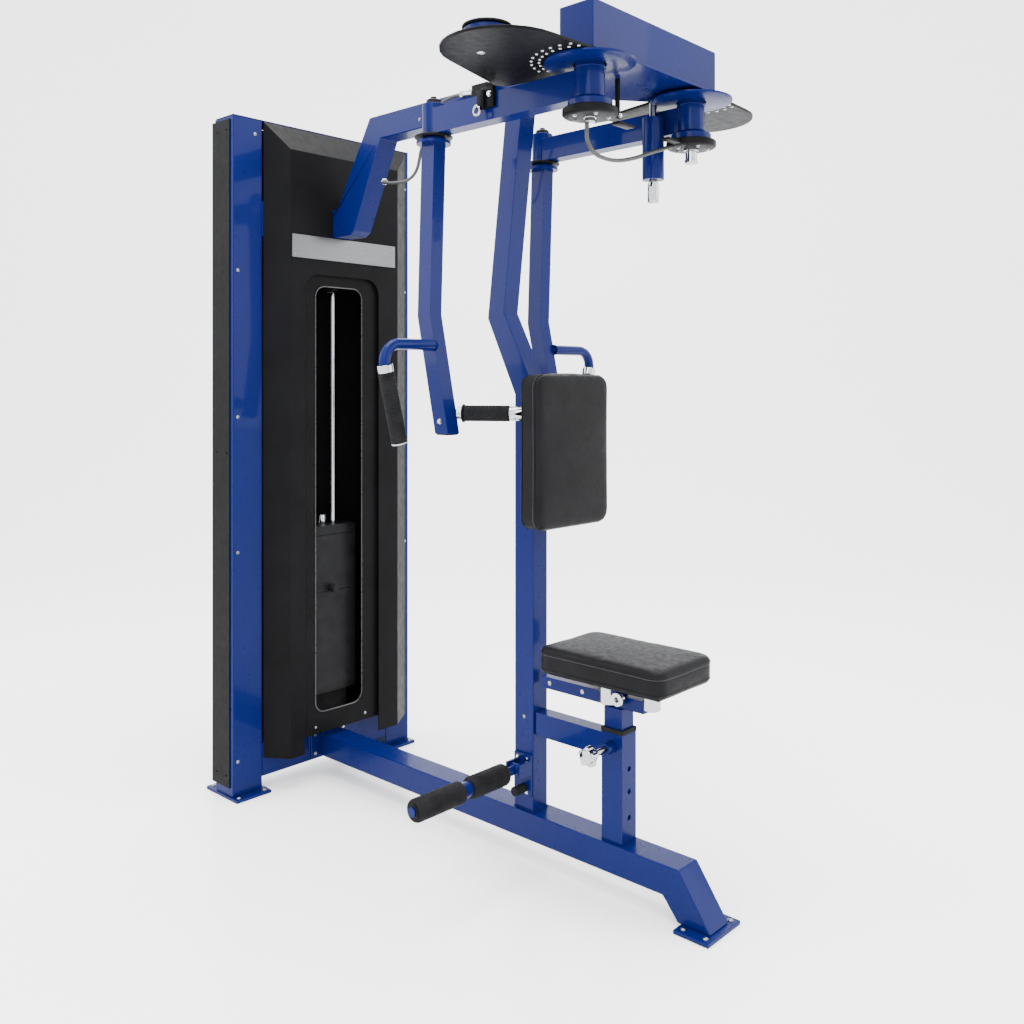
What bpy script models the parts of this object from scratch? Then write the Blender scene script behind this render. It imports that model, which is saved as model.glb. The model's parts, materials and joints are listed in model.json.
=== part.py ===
"""Pec deck machine: weight tower, overhead boom, two swinging arms, chest pad and height-set seat.

Metres, +Z up. The origin is the middle of the front foot's sole. The user's end is at -Y, the weight
tower at +Y, and X = 0 is the plane through the base beam, the column and the boom.
"""
import bpy
import bmesh
from math import cos, pi, radians, sin
from mathutils import Matrix, Vector

# ---- driving dimensions -------------------------------------------------------------------------
GAP = 0.0003                    # air between pieces that touch
PLATE = 0.008                   # foot plates and flanges
WALL = 0.003                    # wall of every square tube
SHEET = 0.0025                  # covers

TOWER_Y = 1.256                 # front of the two uprights
TOWER_HALF = 0.3075             # outer faces of the uprights
TOWER_TOP = 1.815
UPRIGHT_X = 0.0905
UPRIGHT_Y = 0.085

BEAM_HALF = 0.035
BEAM_TOP = 0.115
BEAM_BOTTOM = 0.052
LEG_TOP_Y = 0.045               # where the beam turns down to the front foot
FOOT_X = 0.062
FOOT_Y = 0.041

COLUMN_HALF = 0.0245
COLUMN_FRONT = 0.447
COLUMN_DEPTH = 0.057
COLUMN_KNEE = (0.540, 1.272)    # y, z of the knee's front corner
COLUMN_BEND_Z = 1.095
COLUMN_TOP_Y = 0.482

BOOM_HALF = 0.030
BOOM_BOTTOM = 1.757
BOOM_TOP = 1.820
BOOM_FRONT = 0.235
BOOM_ROOT = (1.512, 1.590)      # z span of the stub that enters the tower
HEADER_HALF = 0.225
HEADER_Y = (0.116, 0.201)
HEADER_TOP = 1.852

PIVOT = (0.184, 0.155)          # |x|, y of the two overhead pivots
HUB_R = 0.030
HUB_Z = (1.668, 1.742)
HUB_BORE_R = 0.0125
RUN = 0.0004                    # running clearance round a shaft
CAM_Z = (1.7440, 1.7500)
LINK_Z = (1.670, 1.728)
LINK_HALF = 0.020
SWIVEL = (0.190, 0.605)         # |x|, y of the arm's own upright swivel
SWIVEL_R = 0.026

ARM_X = 0.036
ARM_Y = 0.042
ARM_TOP = 1.652
ARM_KNEE_Z = 1.262
ARM_END = (0.560, 0.990)        # y, z of the arm's lower end
GRIP_R = 0.018
TUBE_R = 0.0125
PEC_BEND = 0.040
PEC_OUT = 0.165                 # how far the outer handle's bend stands out from the arm
PEC_Z = 1.190
ROW_Z = 1.036
ROW_DIR = (0.50, -0.866)        # the inner handle's heading, for the left arm
ROW_LEN = 0.150

POST_HALF = 0.0250
POST_Y = (0.193, 0.2485)
POST_TOP = 0.350
SEAT_SPAN = (0.212, 0.332, 0.060)
SEAT_Y = 0.206
SEAT_TOP = 0.527
RAIL_Z = (0.405, 0.432)
PAD_SPAN = (0.256, 0.058, 0.348)
PAD_FRONT = 0.342
PAD_Z = 0.952

STACK_Y = 1.285                 # rods, stem and plates share this line
STACK_HALF = (0.088, 0.045)
STACK_BASE = 0.2253
PLATE_PITCH = 0.016
RESTING_PLATES = 18
LIFTED_PLATES = 10
ROD_X = 0.040
ROD_R = 0.009
STEM_R = 0.0095
MID_Z = (1.504, 1.598)
FLOOR_BEAM_Z = (0.040, 0.130)

SHROUD_Y = 1.190
SHROUD_LEFT = (-0.2145, -0.172)
SHROUD_RIGHT = (0.207, 0.297)
SHROUD_BOTTOM = 0.090
ARCH = (-0.125, 0.135, 1.405)     # x span and top of the opening in the shroud
ARCH_CORNER = 0.045
WINDOW = (-0.080, 0.080, 0.190, 1.374)
PANEL_Y = 1.2025

LEVER_Y = 0.470
LEVER_Z = 0.218
LEVER_R = 0.0105
ROLLER_R = 0.0245

ROUND = 24                      # facets round a big cylinder
FINE = 16                       # facets round a small one

# details
FLANGE_HALF = 0.062             # the plate that the beam bolts to
FLANGE_Z = (0.045, 0.126)
PULLEY_R = 0.0375
PULLEY_Z = 1.398
CAM_LOBE = (0.350, 0.235, 0.125)    # |x|, y, radius
CAM_TIP = (0.200, 0.375, 0.028)
CAM_HUB_R = 0.055
START_RING = 0.092              # radius of the start-position holes
HOLE_R = 0.0055
RANGE_PIN = (0.146, 0.232)      # x, y of the spring pin in the right link
RANGE_PIN_R = 0.0085
SHAFT_DISC = (1.6330, 1.6495)   # z of the disc under each pivot
SHAFT_NOSE = (1.6260, 1.6000)   # z where the left and the right nose end
GRIP_LEAN = 14                  # degrees that the outer grip leans in
GRIP_START = 0.014              # along the outer bar, from the bend's end
GRIP_END = 0.176
SEAT_PIN = (0.2208, 0.322)     # y, z
SEAT_KNOB = (0.059, 0.091)      # how far out of the post the knob starts and ends
RAIL_Y = (0.145, 0.430)
FRONT_BOSS = (0.134, 0.0170)    # y, radius of the boss under the seat's front
LEVER_HINGE_X = -0.056
CABLE_R = 0.0042
ARM_CABLE = [(-0.0330, 0.968, 1.640), (-0.058, 0.935, 1.628), (-0.064, 0.880, 1.620),
             (-0.062, 0.835, 1.622),
             (-0.060, 0.806, 1.645), (-0.058, 0.790, 1.700), (-0.056, 0.762, 1.752), (-0.052, 0.736, 1.792),
             (-0.048, 0.700, 1.806), (-0.046, 0.655, 1.806), (-0.046, 0.612, 1.800)]

# ---- materials ----------------------------------------------------------------------------------
FINISH = {
    "blue_paint": ((0.020, 0.045, 0.230), 0.28, 0.35),
    "black_paint": ((0.018, 0.018, 0.020), 0.45, 0.30),
    "chrome": ((0.80, 0.80, 0.82), 0.10, 1.00),
    "brushed_plate": ((0.55, 0.56, 0.58), 0.35, 1.00),
    "rubber": ((0.012, 0.012, 0.013), 0.75, 0.00),
    "leatherette": ((0.014, 0.014, 0.015), 0.50, 0.00),
    "plate_steel": ((0.030, 0.030, 0.032), 0.55, 0.60),
    "cable_jacket": ((0.010, 0.010, 0.012), 0.50, 0.00),
}


def clear_scene():
    for old in list(bpy.data.objects):
        bpy.data.objects.remove(old, do_unlink=True)


def finish(name):
    material = bpy.data.materials.get(name)
    if material is None:
        colour, roughness, metallic = FINISH[name]
        material = bpy.data.materials.new(name)
        material.use_nodes = True
        shader = material.node_tree.nodes["Principled BSDF"]
        shader.inputs["Base Color"].default_value = (*colour, 1.0)
        shader.inputs["Roughness"].default_value = roughness
        shader.inputs["Metallic"].default_value = metallic
        material.diffuse_color = (*colour, 1.0)
    return material


def pivot_empty(name, place):
    """An empty on a joint's axis, which the moving pieces hang from."""
    empty = bpy.data.objects.new(name, None)
    empty.location = place
    bpy.context.scene.collection.objects.link(empty)
    return empty


def add(name, bm, slot, parent=None, smooth=False, cutter=False):
    """A bmesh in world metres becomes an object whose origin is its parent empty."""
    bmesh.ops.recalc_face_normals(bm, faces=bm.faces)
    mesh = bpy.data.meshes.new(name)
    if parent is not None:
        bmesh.ops.translate(bm, verts=bm.verts, vec=-parent.location)
    bm.to_mesh(mesh)
    bm.free()
    if smooth:
        mesh.shade_smooth()
        mesh.set_sharp_from_angle(angle=radians(35))
    obj = bpy.data.objects.new(name, mesh)
    bpy.context.scene.collection.objects.link(obj)
    mesh.materials.append(finish(slot))
    obj.parent = parent
    if cutter:
        obj.hide_render = True
        obj.display_type = "WIRE"
    return obj


def cut(obj, bm, operation="DIFFERENCE"):
    """Cuts a shape out of a piece, or welds one on, with a live Boolean."""
    tool = add(obj.name + "_tool", bm, "chrome", parent=obj.parent, cutter=True)
    modifier = obj.modifiers.new(operation.lower(), "BOOLEAN")
    modifier.operation = operation
    modifier.object = tool
    modifier.solver = "EXACT"
    return obj


def weld(obj, bm):
    return cut(obj, bm, "UNION")


# ---- shapes -------------------------------------------------------------------------------------
def box(x, y, z):
    """A block between (low, high) pairs."""
    bm = bmesh.new()
    bmesh.ops.create_cube(bm, size=1.0)
    size = Vector((x[1] - x[0], y[1] - y[0], z[1] - z[0]))
    middle = Vector((x[0] + x[1], y[0] + y[1], z[0] + z[1])) / 2
    bmesh.ops.transform(bm, matrix=Matrix.Translation(middle) @ Matrix.Diagonal(size).to_4x4(),
                        verts=bm.verts)
    return bm


def rod(start, end, radius, facets=FINE, radius_end=None):
    """A cylinder or cone between two points."""
    start, end = Vector(start), Vector(end)
    along = end - start
    bm = bmesh.new()
    bmesh.ops.create_cone(bm, cap_ends=True, segments=facets, radius1=radius,
                          radius2=radius if radius_end is None else radius_end, depth=along.length)
    turn = along.to_track_quat("Z", "Y").to_matrix().to_4x4()
    bmesh.ops.transform(bm, matrix=Matrix.Translation((start + end) / 2) @ turn, verts=bm.verts)
    return bm


def prism(outline, axis, low, high):
    """An outline in the plane square to axis, pulled out along it.

    For X the outline is (y, z), for Y it is (x, z) and for Z it is (x, y).
    """
    place = "XYZ".index(axis)
    way = {"X": (high - low, 0, 0), "Y": (0, high - low, 0), "Z": (0, 0, high - low)}[axis]
    bm = bmesh.new()
    spots = [(*point[:place], low, *point[place:]) for point in outline]
    face = bm.faces.new([bm.verts.new(spot) for spot in spots])
    grown = bmesh.ops.extrude_face_region(bm, geom=[face])
    verts = [item for item in grown["geom"] if isinstance(item, bmesh.types.BMVert)]
    bmesh.ops.translate(bm, verts=verts, vec=way)
    return bm


def turned(profile, place, facets=ROUND):
    """A (radius, z) profile spun round an upright axis through place."""
    bm = bmesh.new()
    verts = [bm.verts.new((place[0] + r, place[1], z)) for r, z in profile]
    edges = [bm.edges.new(pair) for pair in zip(verts, verts[1:] + verts[:1])]
    bmesh.ops.spin(bm, geom=verts + edges, cent=(*place, 0), axis=(0, 0, 1), angle=2 * pi, steps=facets,
                   use_merge=True)
    bmesh.ops.remove_doubles(bm, verts=bm.verts, dist=1e-5)
    return bm


def arc(centre, radius, start, end, steps):
    """Points along an arc in a plane, angles in degrees."""
    angles = [radians(start + (end - start) * i / steps) for i in range(steps + 1)]
    return [(centre[0] + radius * cos(a), centre[1] + radius * sin(a)) for a in angles]


def hull(points):
    """The outline of the tightest band round some points."""
    points = sorted(set(points))
    chains = []
    for ordered in (points, points[::-1]):
        chain = []
        for p in ordered:
            while len(chain) > 1:
                (ax, ay), (bx, by) = chain[-2], chain[-1]
                if (bx - ax) * (p[1] - ay) - (by - ay) * (p[0] - ax) > 1e-9:
                    break
                chain.pop()
            chain.append(p)
        chains.append(chain[:-1])
    return chains[0] + chains[1]


def smooth_path(points, steps):
    """A Catmull-Rom curve through the points, with steps spans between each pair."""
    knots = [Vector(p) for p in points]
    knots = [2 * knots[0] - knots[1]] + knots + [2 * knots[-1] - knots[-2]]
    path = []
    for i in range(1, len(knots) - 2):
        a, b, c, d = knots[i - 1:i + 3]
        for j in range(steps):
            t = j / steps
            path.append(0.5 * (2 * b + (c - a) * t + (2 * a - 5 * b + 4 * c - d) * t * t
                               + (3 * b - a - 3 * c + d) * t ** 3))
    return path + [knots[-2]]


def bent_tube(name, path, radius, slot, sides=2, parent=None):
    """A round bar or cord along a path, as a curve with a bevel and filled caps."""
    curve = bpy.data.curves.new(name, "CURVE")
    curve.dimensions = "3D"
    curve.bevel_depth = radius
    curve.bevel_resolution = sides
    curve.use_fill_caps = True
    spline = curve.splines.new("POLY")
    spline.points.add(len(path) - 1)
    shift = parent.location if parent is not None else Vector((0, 0, 0))
    for point, place in zip(spline.points, path):
        point.co = (*(Vector(place) - shift), 1.0)
    obj = bpy.data.objects.new(name, curve)
    bpy.context.scene.collection.objects.link(obj)
    curve.materials.append(finish(slot))
    obj.parent = parent
    return obj


def inset(low, high, wall):
    return low + wall, high - wall


# ---- base ---------------------------------------------------------------------------------------
def make_base():
    foot_top = PLATE + GAP
    rear = TOWER_Y - PLATE - GAP
    leg = LEG_TOP_Y - 0.075
    outline = [(rear, BEAM_TOP), (LEG_TOP_Y, BEAM_TOP), (leg, foot_top), (leg + 0.078, foot_top),
               (LEG_TOP_Y + 0.040, BEAM_BOTTOM), (rear, BEAM_BOTTOM)]
    beam = add("base_beam", prism(outline, "X", -BEAM_HALF, BEAM_HALF), "blue_paint")
    hollow = box(inset(-BEAM_HALF, BEAM_HALF, WALL), (LEG_TOP_Y + 0.05, rear + 0.01),
                 inset(BEAM_BOTTOM, BEAM_TOP, WALL))
    cut(beam, hollow)
    add("front_foot_plate", box((-FOOT_X, FOOT_X), (-FOOT_Y, FOOT_Y), (0, PLATE)), "blue_paint")


def column_lines():
    """Front and back edges of the column, bottom to top, as (y, z)."""
    knee_y, knee_z = COLUMN_KNEE
    front = [(COLUMN_FRONT, BEAM_TOP + GAP), (COLUMN_FRONT, COLUMN_BEND_Z), (knee_y, knee_z),
             (COLUMN_TOP_Y, BOOM_BOTTOM - GAP)]
    drops = (0, -0.016, -0.012, 0)
    back = [(y + COLUMN_DEPTH * k, z + d) for (y, z), k, d in zip(front, (1, 1, 0.92, 0.88), drops)]
    return front, back


def make_column():
    front, back = column_lines()
    column = add("column", prism(front + back[::-1], "X", -COLUMN_HALF, COLUMN_HALF), "blue_paint")
    core_front = [(y + WALL, z) for y, z in front]
    core_back = [(y - WALL, z) for y, z in back]
    core_front[0] = (core_front[0][0], core_front[0][1] - 0.01)
    core_back[0] = (core_back[0][0], core_back[0][1] - 0.01)
    core_front[-1] = (core_front[-1][0], core_front[-1][1] + 0.01)
    core_back[-1] = (core_back[-1][0], core_back[-1][1] + 0.01)
    cut(column, prism(core_front + core_back[::-1], "X", *inset(-COLUMN_HALF, COLUMN_HALF, WALL)))


def make_boom():
    rear = TOWER_Y - GAP
    low, high = BOOM_ROOT
    outline = [(rear, high), (1.170, high), (1.030, BOOM_TOP), (BOOM_FRONT, BOOM_TOP),
               (BOOM_FRONT, BOOM_BOTTOM),
               (0.985, BOOM_BOTTOM), (1.098, low + 0.012), (1.115, low), (rear, low)]
    boom = add("boom", prism(outline, "X", -BOOM_HALF, BOOM_HALF), "blue_paint")
    core = [(BOOM_FRONT - 0.01, BOOM_TOP - WALL), (BOOM_FRONT - 0.01, BOOM_BOTTOM + WALL),
            (0.987, BOOM_BOTTOM + WALL), (1.102, low + 0.012), (1.119, low + WALL), (rear + 0.01,
                                                                                     low + WALL),
            (rear + 0.01, high - WALL), (1.166, high - WALL), (1.028, BOOM_TOP - WALL)]
    cut(boom, prism(core, "X", *inset(-BOOM_HALF, BOOM_HALF, WALL)))


def make_header():
    bottom = BOOM_BOTTOM
    bar = add("header_crossbar", box((-HEADER_HALF, HEADER_HALF), HEADER_Y, (bottom, HEADER_TOP)),
              "blue_paint")
    cut(bar, box(inset(-HEADER_HALF, HEADER_HALF, WALL), inset(*HEADER_Y, WALL),
                 inset(bottom, HEADER_TOP, WALL)))
    cut(bar, box((-0.050, 0.050), inset(*HEADER_Y, 0.020), (bottom - 0.01, bottom + 0.01)))
    reach = PIVOT[0] + 0.050
    outline = (arc((-PIVOT[0], PIVOT[1]), 0.052, 150, 270, 8) + arc((PIVOT[0], PIVOT[1]), 0.052, -90, 30, 8)
               + [(reach - 0.06, 0.235), (0.050, 0.330), (-0.050, 0.330), (0.06 - reach, 0.235)])
    plate = add("header_mount_plate", prism(outline, "Z", BOOM_BOTTOM - GAP - 0.005, BOOM_BOTTOM - GAP),
                "blue_paint")
    return plate


def make_pivot_shafts():
    x, y = PIVOT
    top = BOOM_BOTTOM - GAP - 0.005 - GAP
    for side, name in ((-1, "left"), (1, "right")):
        place = (side * x, y)
        low, high = SHAFT_DISC
        nose = SHAFT_NOSE[0 if side < 0 else 1]
        profile = [(0, top), (HUB_BORE_R - RUN, top), (HUB_BORE_R - RUN, high), (0.054, high),
                   (0.056, high - 0.0055),
                   (0.050, low), (0.016, low), (0.014, nose), (0, nose)]
        add(name + "_pivot_shaft", turned(profile, place), "chrome", smooth=True)


# ---- tower --------------------------------------------------------------------------------------
def make_tower_frame():
    back = TOWER_Y + UPRIGHT_Y
    for side, name in ((-1, "left"), (1, "right")):
        spans = sorted((side * TOWER_HALF, side * (TOWER_HALF - UPRIGHT_X)))
        post = add(name + "_upright", box(spans, (TOWER_Y, back), (PLATE + GAP, TOWER_TOP)), "blue_paint")
        cut(post, box(inset(*spans, WALL), inset(TOWER_Y, back, WALL), (0, TOWER_TOP + 0.01)))
        foot = sorted((side * (TOWER_HALF + 0.004), side * 0.205))
        add(name + "_foot_plate", box(foot, (TOWER_Y - 0.026, back + 0.040), (0, PLATE)), "blue_paint")
    inner = TOWER_HALF - UPRIGHT_X - GAP
    for name, z in (("floor_crossmember", FLOOR_BEAM_Z), ("boom_crossmember", MID_Z)):
        bar = add(name, box((-inner, inner), (TOWER_Y, TOWER_Y + 0.074), z), "blue_paint")
        cut(bar, box((-inner - 0.01, inner + 0.01), inset(TOWER_Y, TOWER_Y + 0.074, WALL), inset(*z, WALL)))
        if name == "boom_crossmember":
            make_pulley_cheeks(bar)
        else:
            weld(bar, box((-FLANGE_HALF, FLANGE_HALF), (TOWER_Y - PLATE, TOWER_Y + 0.001), FLANGE_Z))
    add("left_side_cover", box((-TOWER_HALF - 0.0035, -TOWER_HALF - GAP), (TOWER_Y + 0.012, back + 0.012),
                               (0.030, TOWER_TOP - 0.008)), "black_paint")
    add("tower_cap", box((-TOWER_HALF, TOWER_HALF), (TOWER_Y, back),
                         (TOWER_TOP + GAP, TOWER_TOP + 0.0028)), "blue_paint")
    add("rear_cover", box((-TOWER_HALF, TOWER_HALF), (back + GAP, back + GAP + SHEET), (0.090, TOWER_TOP)),
        "black_paint")




def make_pulley_cheeks(bar):
    """Two cheeks and an axle hang the cable wheel under the boom's crossmember."""
    middle = STACK_Y - PULLEY_R
    for side in (-1, 1):
        x = sorted((side * 0.0140, side * 0.0190))
        weld(bar, box(x, (middle - 0.014, TOWER_Y + 0.030), (PULLEY_Z - 0.018, MID_Z[0] + 0.002)))
    weld(bar, rod((-0.018, middle, PULLEY_Z), (0.018, middle, PULLEY_Z), 0.0060))


def make_pulley(parent):
    middle = (STACK_Y - PULLEY_R, PULLEY_Z)
    wheel = add("lift_pulley", rod((-0.0130, *middle), (0.0130, *middle), PULLEY_R - 0.0030, ROUND),
                "black_paint",
                parent=parent, smooth=True)
    cut(wheel, rod((-0.02, *middle), (0.02, *middle), 0.0064))


def shroud_plan(inset_by=0.0):
    """Plan of the front shroud, back edge first, as (x, y)."""
    back = TOWER_Y - GAP
    front = SHROUD_Y + inset_by
    left, left_in = SHROUD_LEFT
    right_in, right = SHROUD_RIGHT
    return [(left + inset_by, back), (left_in + inset_by * 0.7, front), (right_in - inset_by * 0.7, front),
            (right - inset_by, back)]


def chamfer_top(bm, drop, height):
    """Slopes the shroud's head back from its front plane."""
    front = SHROUD_Y
    back = TOWER_Y
    normal = Vector((0, -drop, back - front)).normalized()
    geom = bm.verts[:] + bm.edges[:] + bm.faces[:]
    cuts = bmesh.ops.bisect_plane(bm, geom=geom, plane_co=(0, front, height - drop), plane_no=normal,
                                  clear_outer=True)
    edges = [item for item in cuts["geom_cut"] if isinstance(item, bmesh.types.BMEdge)]
    bmesh.ops.contextual_create(bm, geom=edges)


def make_shroud():
    bevel = 0.078
    shell = prism(shroud_plan(), "Z", SHROUD_BOTTOM, TOWER_TOP)
    chamfer_top(shell, bevel, TOWER_TOP)
    shroud = add("front_shroud", shell, "black_paint")
    plan = shroud_plan(SHEET)
    plan[0] = (plan[0][0], TOWER_Y + 0.02)
    plan[-1] = (plan[-1][0], TOWER_Y + 0.02)
    core = prism(plan, "Z", SHROUD_BOTTOM - 0.02, TOWER_TOP - SHEET * 1.6)
    chamfer_top(core, bevel, TOWER_TOP - SHEET * 1.6)
    cut(shroud, core)
    left, right, top = ARCH
    corner = ARCH_CORNER
    arch = ([(left, 0.02), (right, 0.02)] + arc((right - corner, top - corner), corner, 0, 90, 6)
            + arc((left + corner, top - corner), corner, 90, 180, 6))
    cut(shroud, prism(arch, "Y", SHROUD_Y - 0.01, SHROUD_Y + 0.01))
    low, high = BOOM_ROOT
    reach = BOOM_HALF + GAP
    cut(shroud, box((-reach, reach), (SHROUD_Y - 0.01, SHROUD_Y + 0.01), (low - GAP, high + 0.0006)))
    panel = add("window_panel", box((ARCH[0] - 0.022, ARCH[1] + 0.022), (PANEL_Y, PANEL_Y + 0.003),
                                    (BEAM_TOP + 0.016, ARCH[2] + 0.025)), "black_paint")
    x0, x1, z0, z1 = WINDOW
    window = [(x0, z0), (x1, z0), (x1, z1), (x0, z1)]
    cut(panel, prism(window, "Y", PANEL_Y - 0.01, PANEL_Y + 0.02))
    add("front_plaque", box((-0.168, 0.196), (SHROUD_Y - GAP - 0.002, SHROUD_Y - GAP),
                            (1.447, BOOM_ROOT[0] - 0.002)),
        "brushed_plate")


# ---- weights ------------------------------------------------------------------------------------
def plates(count, base):
    """A block of plates with a groove between each pair, as an (x, z) outline."""
    half, groove = STACK_HALF[0], 0.0020
    right = []
    for i in range(count):
        z = base + i * PLATE_PITCH
        right += [(half, z + (0.001 if i else 0)), (half, z + PLATE_PITCH - 0.001)]
        if i < count - 1:
            right.append((half - groove, z + PLATE_PITCH))
    left = [(-x, z) for x, z in reversed(right)]
    return right + left


def stack_holes(obj, stem_radius):
    for x in (-ROD_X, ROD_X):
        cut(obj, rod((x, STACK_Y, 0.1), (x, STACK_Y, 1.0), ROD_R + 0.0015))
    if stem_radius:
        cut(obj, rod((0, STACK_Y, 0.1), (0, STACK_Y, 1.0), stem_radius))


def make_weights(parent):
    depth = (STACK_Y - STACK_HALF[1], STACK_Y + STACK_HALF[1])
    resting = add("resting_plates", prism(plates(RESTING_PLATES, STACK_BASE), "Y", *depth), "plate_steel")
    stack_holes(resting, STEM_R + 0.0030)
    lifted_base = STACK_BASE + RESTING_PLATES * PLATE_PITCH + GAP
    lifted = add("lifted_plates", prism(plates(LIFTED_PLATES, lifted_base), "Y", *depth), "plate_steel",
                 parent=parent)
    stack_holes(lifted, STEM_R + GAP)
    pin_z = lifted_base + PLATE_PITCH / 2
    cut(lifted, rod((0, depth[0] - 0.01, pin_z), (0, STACK_Y, pin_z), 0.0048, 12))
    top_base = lifted_base + LIFTED_PLATES * PLATE_PITCH + GAP
    carriage = add("carriage_plate", box((-STACK_HALF[0], STACK_HALF[0]), depth,
                                         (top_base, top_base + 0.026)),
                   "plate_steel", parent=parent)
    stack_holes(carriage, STEM_R + GAP)
    stem = turned([(0, top_base + 0.052), (0.013, top_base + 0.052), (0.013, top_base + 0.0263),
                   (STEM_R, top_base + 0.0263),
                   (STEM_R, STACK_BASE + 0.06), (0, STACK_BASE + 0.06)], (0, STACK_Y), FINE)
    add("selector_stem", stem, "chrome", parent=parent, smooth=True)
    return pin_z, top_base + 0.052


def make_selector_pin(parent, pin_z):
    face = STACK_Y - STACK_HALF[1]
    pin = add("selector_pin", rod((0, face - 0.026, pin_z), (0, face - 0.001, pin_z), 0.0110, FINE),
              "rubber",
              parent=parent, smooth=True)
    weld(pin, rod((0, face - 0.010, pin_z), (0, STACK_Y - STEM_R - 0.0010, pin_z), 0.0040, 12))


def make_guides():
    foot, head = FLOOR_BEAM_Z[1] + GAP, MID_Z[0] - GAP
    for side, name in ((-1, "left"), (1, "right")):
        x = side * ROD_X
        add(name + "_guide_rod", rod((x, STACK_Y, foot), (x, STACK_Y, head), ROD_R), "chrome", smooth=True)
    pad = add("stack_bumper", box((-0.070, 0.070), (STACK_Y - 0.025, STACK_Y + 0.025),
                                  (foot, STACK_BASE - GAP)), "rubber")
    stack_holes(pad, 0)
    return head


# ---- overhead drive -----------------------------------------------------------------------------


def make_cam(side, name, parent):
    outline = []
    for (x, y, radius), count in ((CAM_LOBE, 28), (CAM_TIP, 12), ((*PIVOT, CAM_HUB_R), 16)):
        outline += arc((side * x, y), radius, 0, 360 * (count - 1) / count, count - 1)
    outline = hull(outline)
    plate = add(name + "_cam_plate", prism(outline, "Z", *CAM_Z), "black_paint", parent=parent)
    cut(plate, rod((side * PIVOT[0], PIVOT[1], 1.7), (side * PIVOT[0], PIVOT[1], 1.8), HUB_BORE_R))
    for step in range(6):
        angle = radians(90 + side * -1 * (8 + 14 * step))
        x, y = side * PIVOT[0] + START_RING * cos(angle), PIVOT[1] + START_RING * sin(angle)
        cut(plate, rod((x, y, 1.7), (x, y, 1.8), HOLE_R, 8))


def make_link(side, name, parent):
    x, y = side * PIVOT[0], PIVOT[1]
    end_x, end_y = side * SWIVEL[0], SWIVEL[1]
    low, high = LINK_Z
    outline = [(x - LINK_HALF, y + 0.015), (x + LINK_HALF, y + 0.015), (end_x + LINK_HALF, end_y - 0.012),
               (end_x - LINK_HALF, end_y - 0.012)]
    link = add(name + "_link", prism(outline, "Z", low, high), "blue_paint", parent=parent)
    hub = turned([(HUB_BORE_R, HUB_Z[1]), (HUB_R, HUB_Z[1]), (HUB_R, 1.6665), (0.045, 1.6650),
                  (0.045, 1.6500),
                  (HUB_BORE_R, 1.6500)], (x, y))
    cut(link, rod((x, y, 1.6), (x, y, 1.8), HUB_BORE_R + 0.004))
    weld(link, hub)
    top = 1.742 if side < 0 else 1.7430
    socket = turned([(0.0105, top), (SWIVEL_R, top), (SWIVEL_R, low - 0.012), (0.0105, low - 0.012)],
                    (end_x, end_y))
    cut(link, rod((end_x, end_y, 1.6), (end_x, end_y, 1.8), 0.0145))
    weld(link, socket)
    if side > 0:
        cx, cy = RANGE_PIN
        weld(link, turned([(0.0095, 1.709), (0.025, 1.709), (0.025, 1.568), (0.0095, 1.568)], (cx, cy)))
        cut(link, rod((cx, cy, 1.5), (cx, cy, 1.8), 0.0094))




def make_range_pin(parent):
    cx, cy = RANGE_PIN
    profile = [(0, CAM_Z[0] - 0.0006), (0.0085, CAM_Z[0] - 0.0006), (0.0085, 1.5640), (0.0130, 1.5600),
               (0.0130, 1.5440),
               (0.0115, 1.5420), (0.0130, 1.5400), (0.0130, 1.5170), (0, 1.5150)]
    add("range_pin", turned(profile, (cx, cy), FINE), "chrome", parent=parent, smooth=True)


# ---- arms ---------------------------------------------------------------------------------------
def make_arm(side, name, parent):
    x, y = side * SWIVEL[0], SWIVEL[1]
    end_y, end_z = ARM_END
    front = [(y - ARM_Y / 2, ARM_TOP), (y + 0.014 - ARM_Y / 2, ARM_KNEE_Z), (end_y - ARM_Y / 2, end_z)]
    back = [(py + ARM_Y, pz - (0.004 if i == 1 else 0)) for i, (py, pz) in enumerate(front)]
    tube = add(name + "_arm", prism(front + back[::-1], "X", x - ARM_X / 2, x + ARM_X / 2), "blue_paint",
               parent=parent)
    core = [(py + WALL, pz) for py, pz in front], [(py - WALL, pz) for py, pz in back]
    core[0][0] = (core[0][0][0], ARM_TOP - 0.004)
    core[1][0] = (core[1][0][0], ARM_TOP - 0.004)
    core[0][2] = (core[0][2][0], end_z - 0.01)
    core[1][2] = (core[1][2][0], end_z - 0.01)
    cut(tube, prism(core[0] + core[1][::-1], "X", *inset(x - ARM_X / 2, x + ARM_X / 2, WALL)))
    spindle = turned([(0, 1.7425), (0.0101, 1.7425), (0.0101, 1.6570), (0.040, 1.6570), (0.040, 1.6500),
                      (0, 1.6500)],
                     (x, y))
    weld(tube, spindle)
    make_outer_handle(side, name, x, parent)
    make_inner_handle(side, name, x, y, parent)


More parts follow.
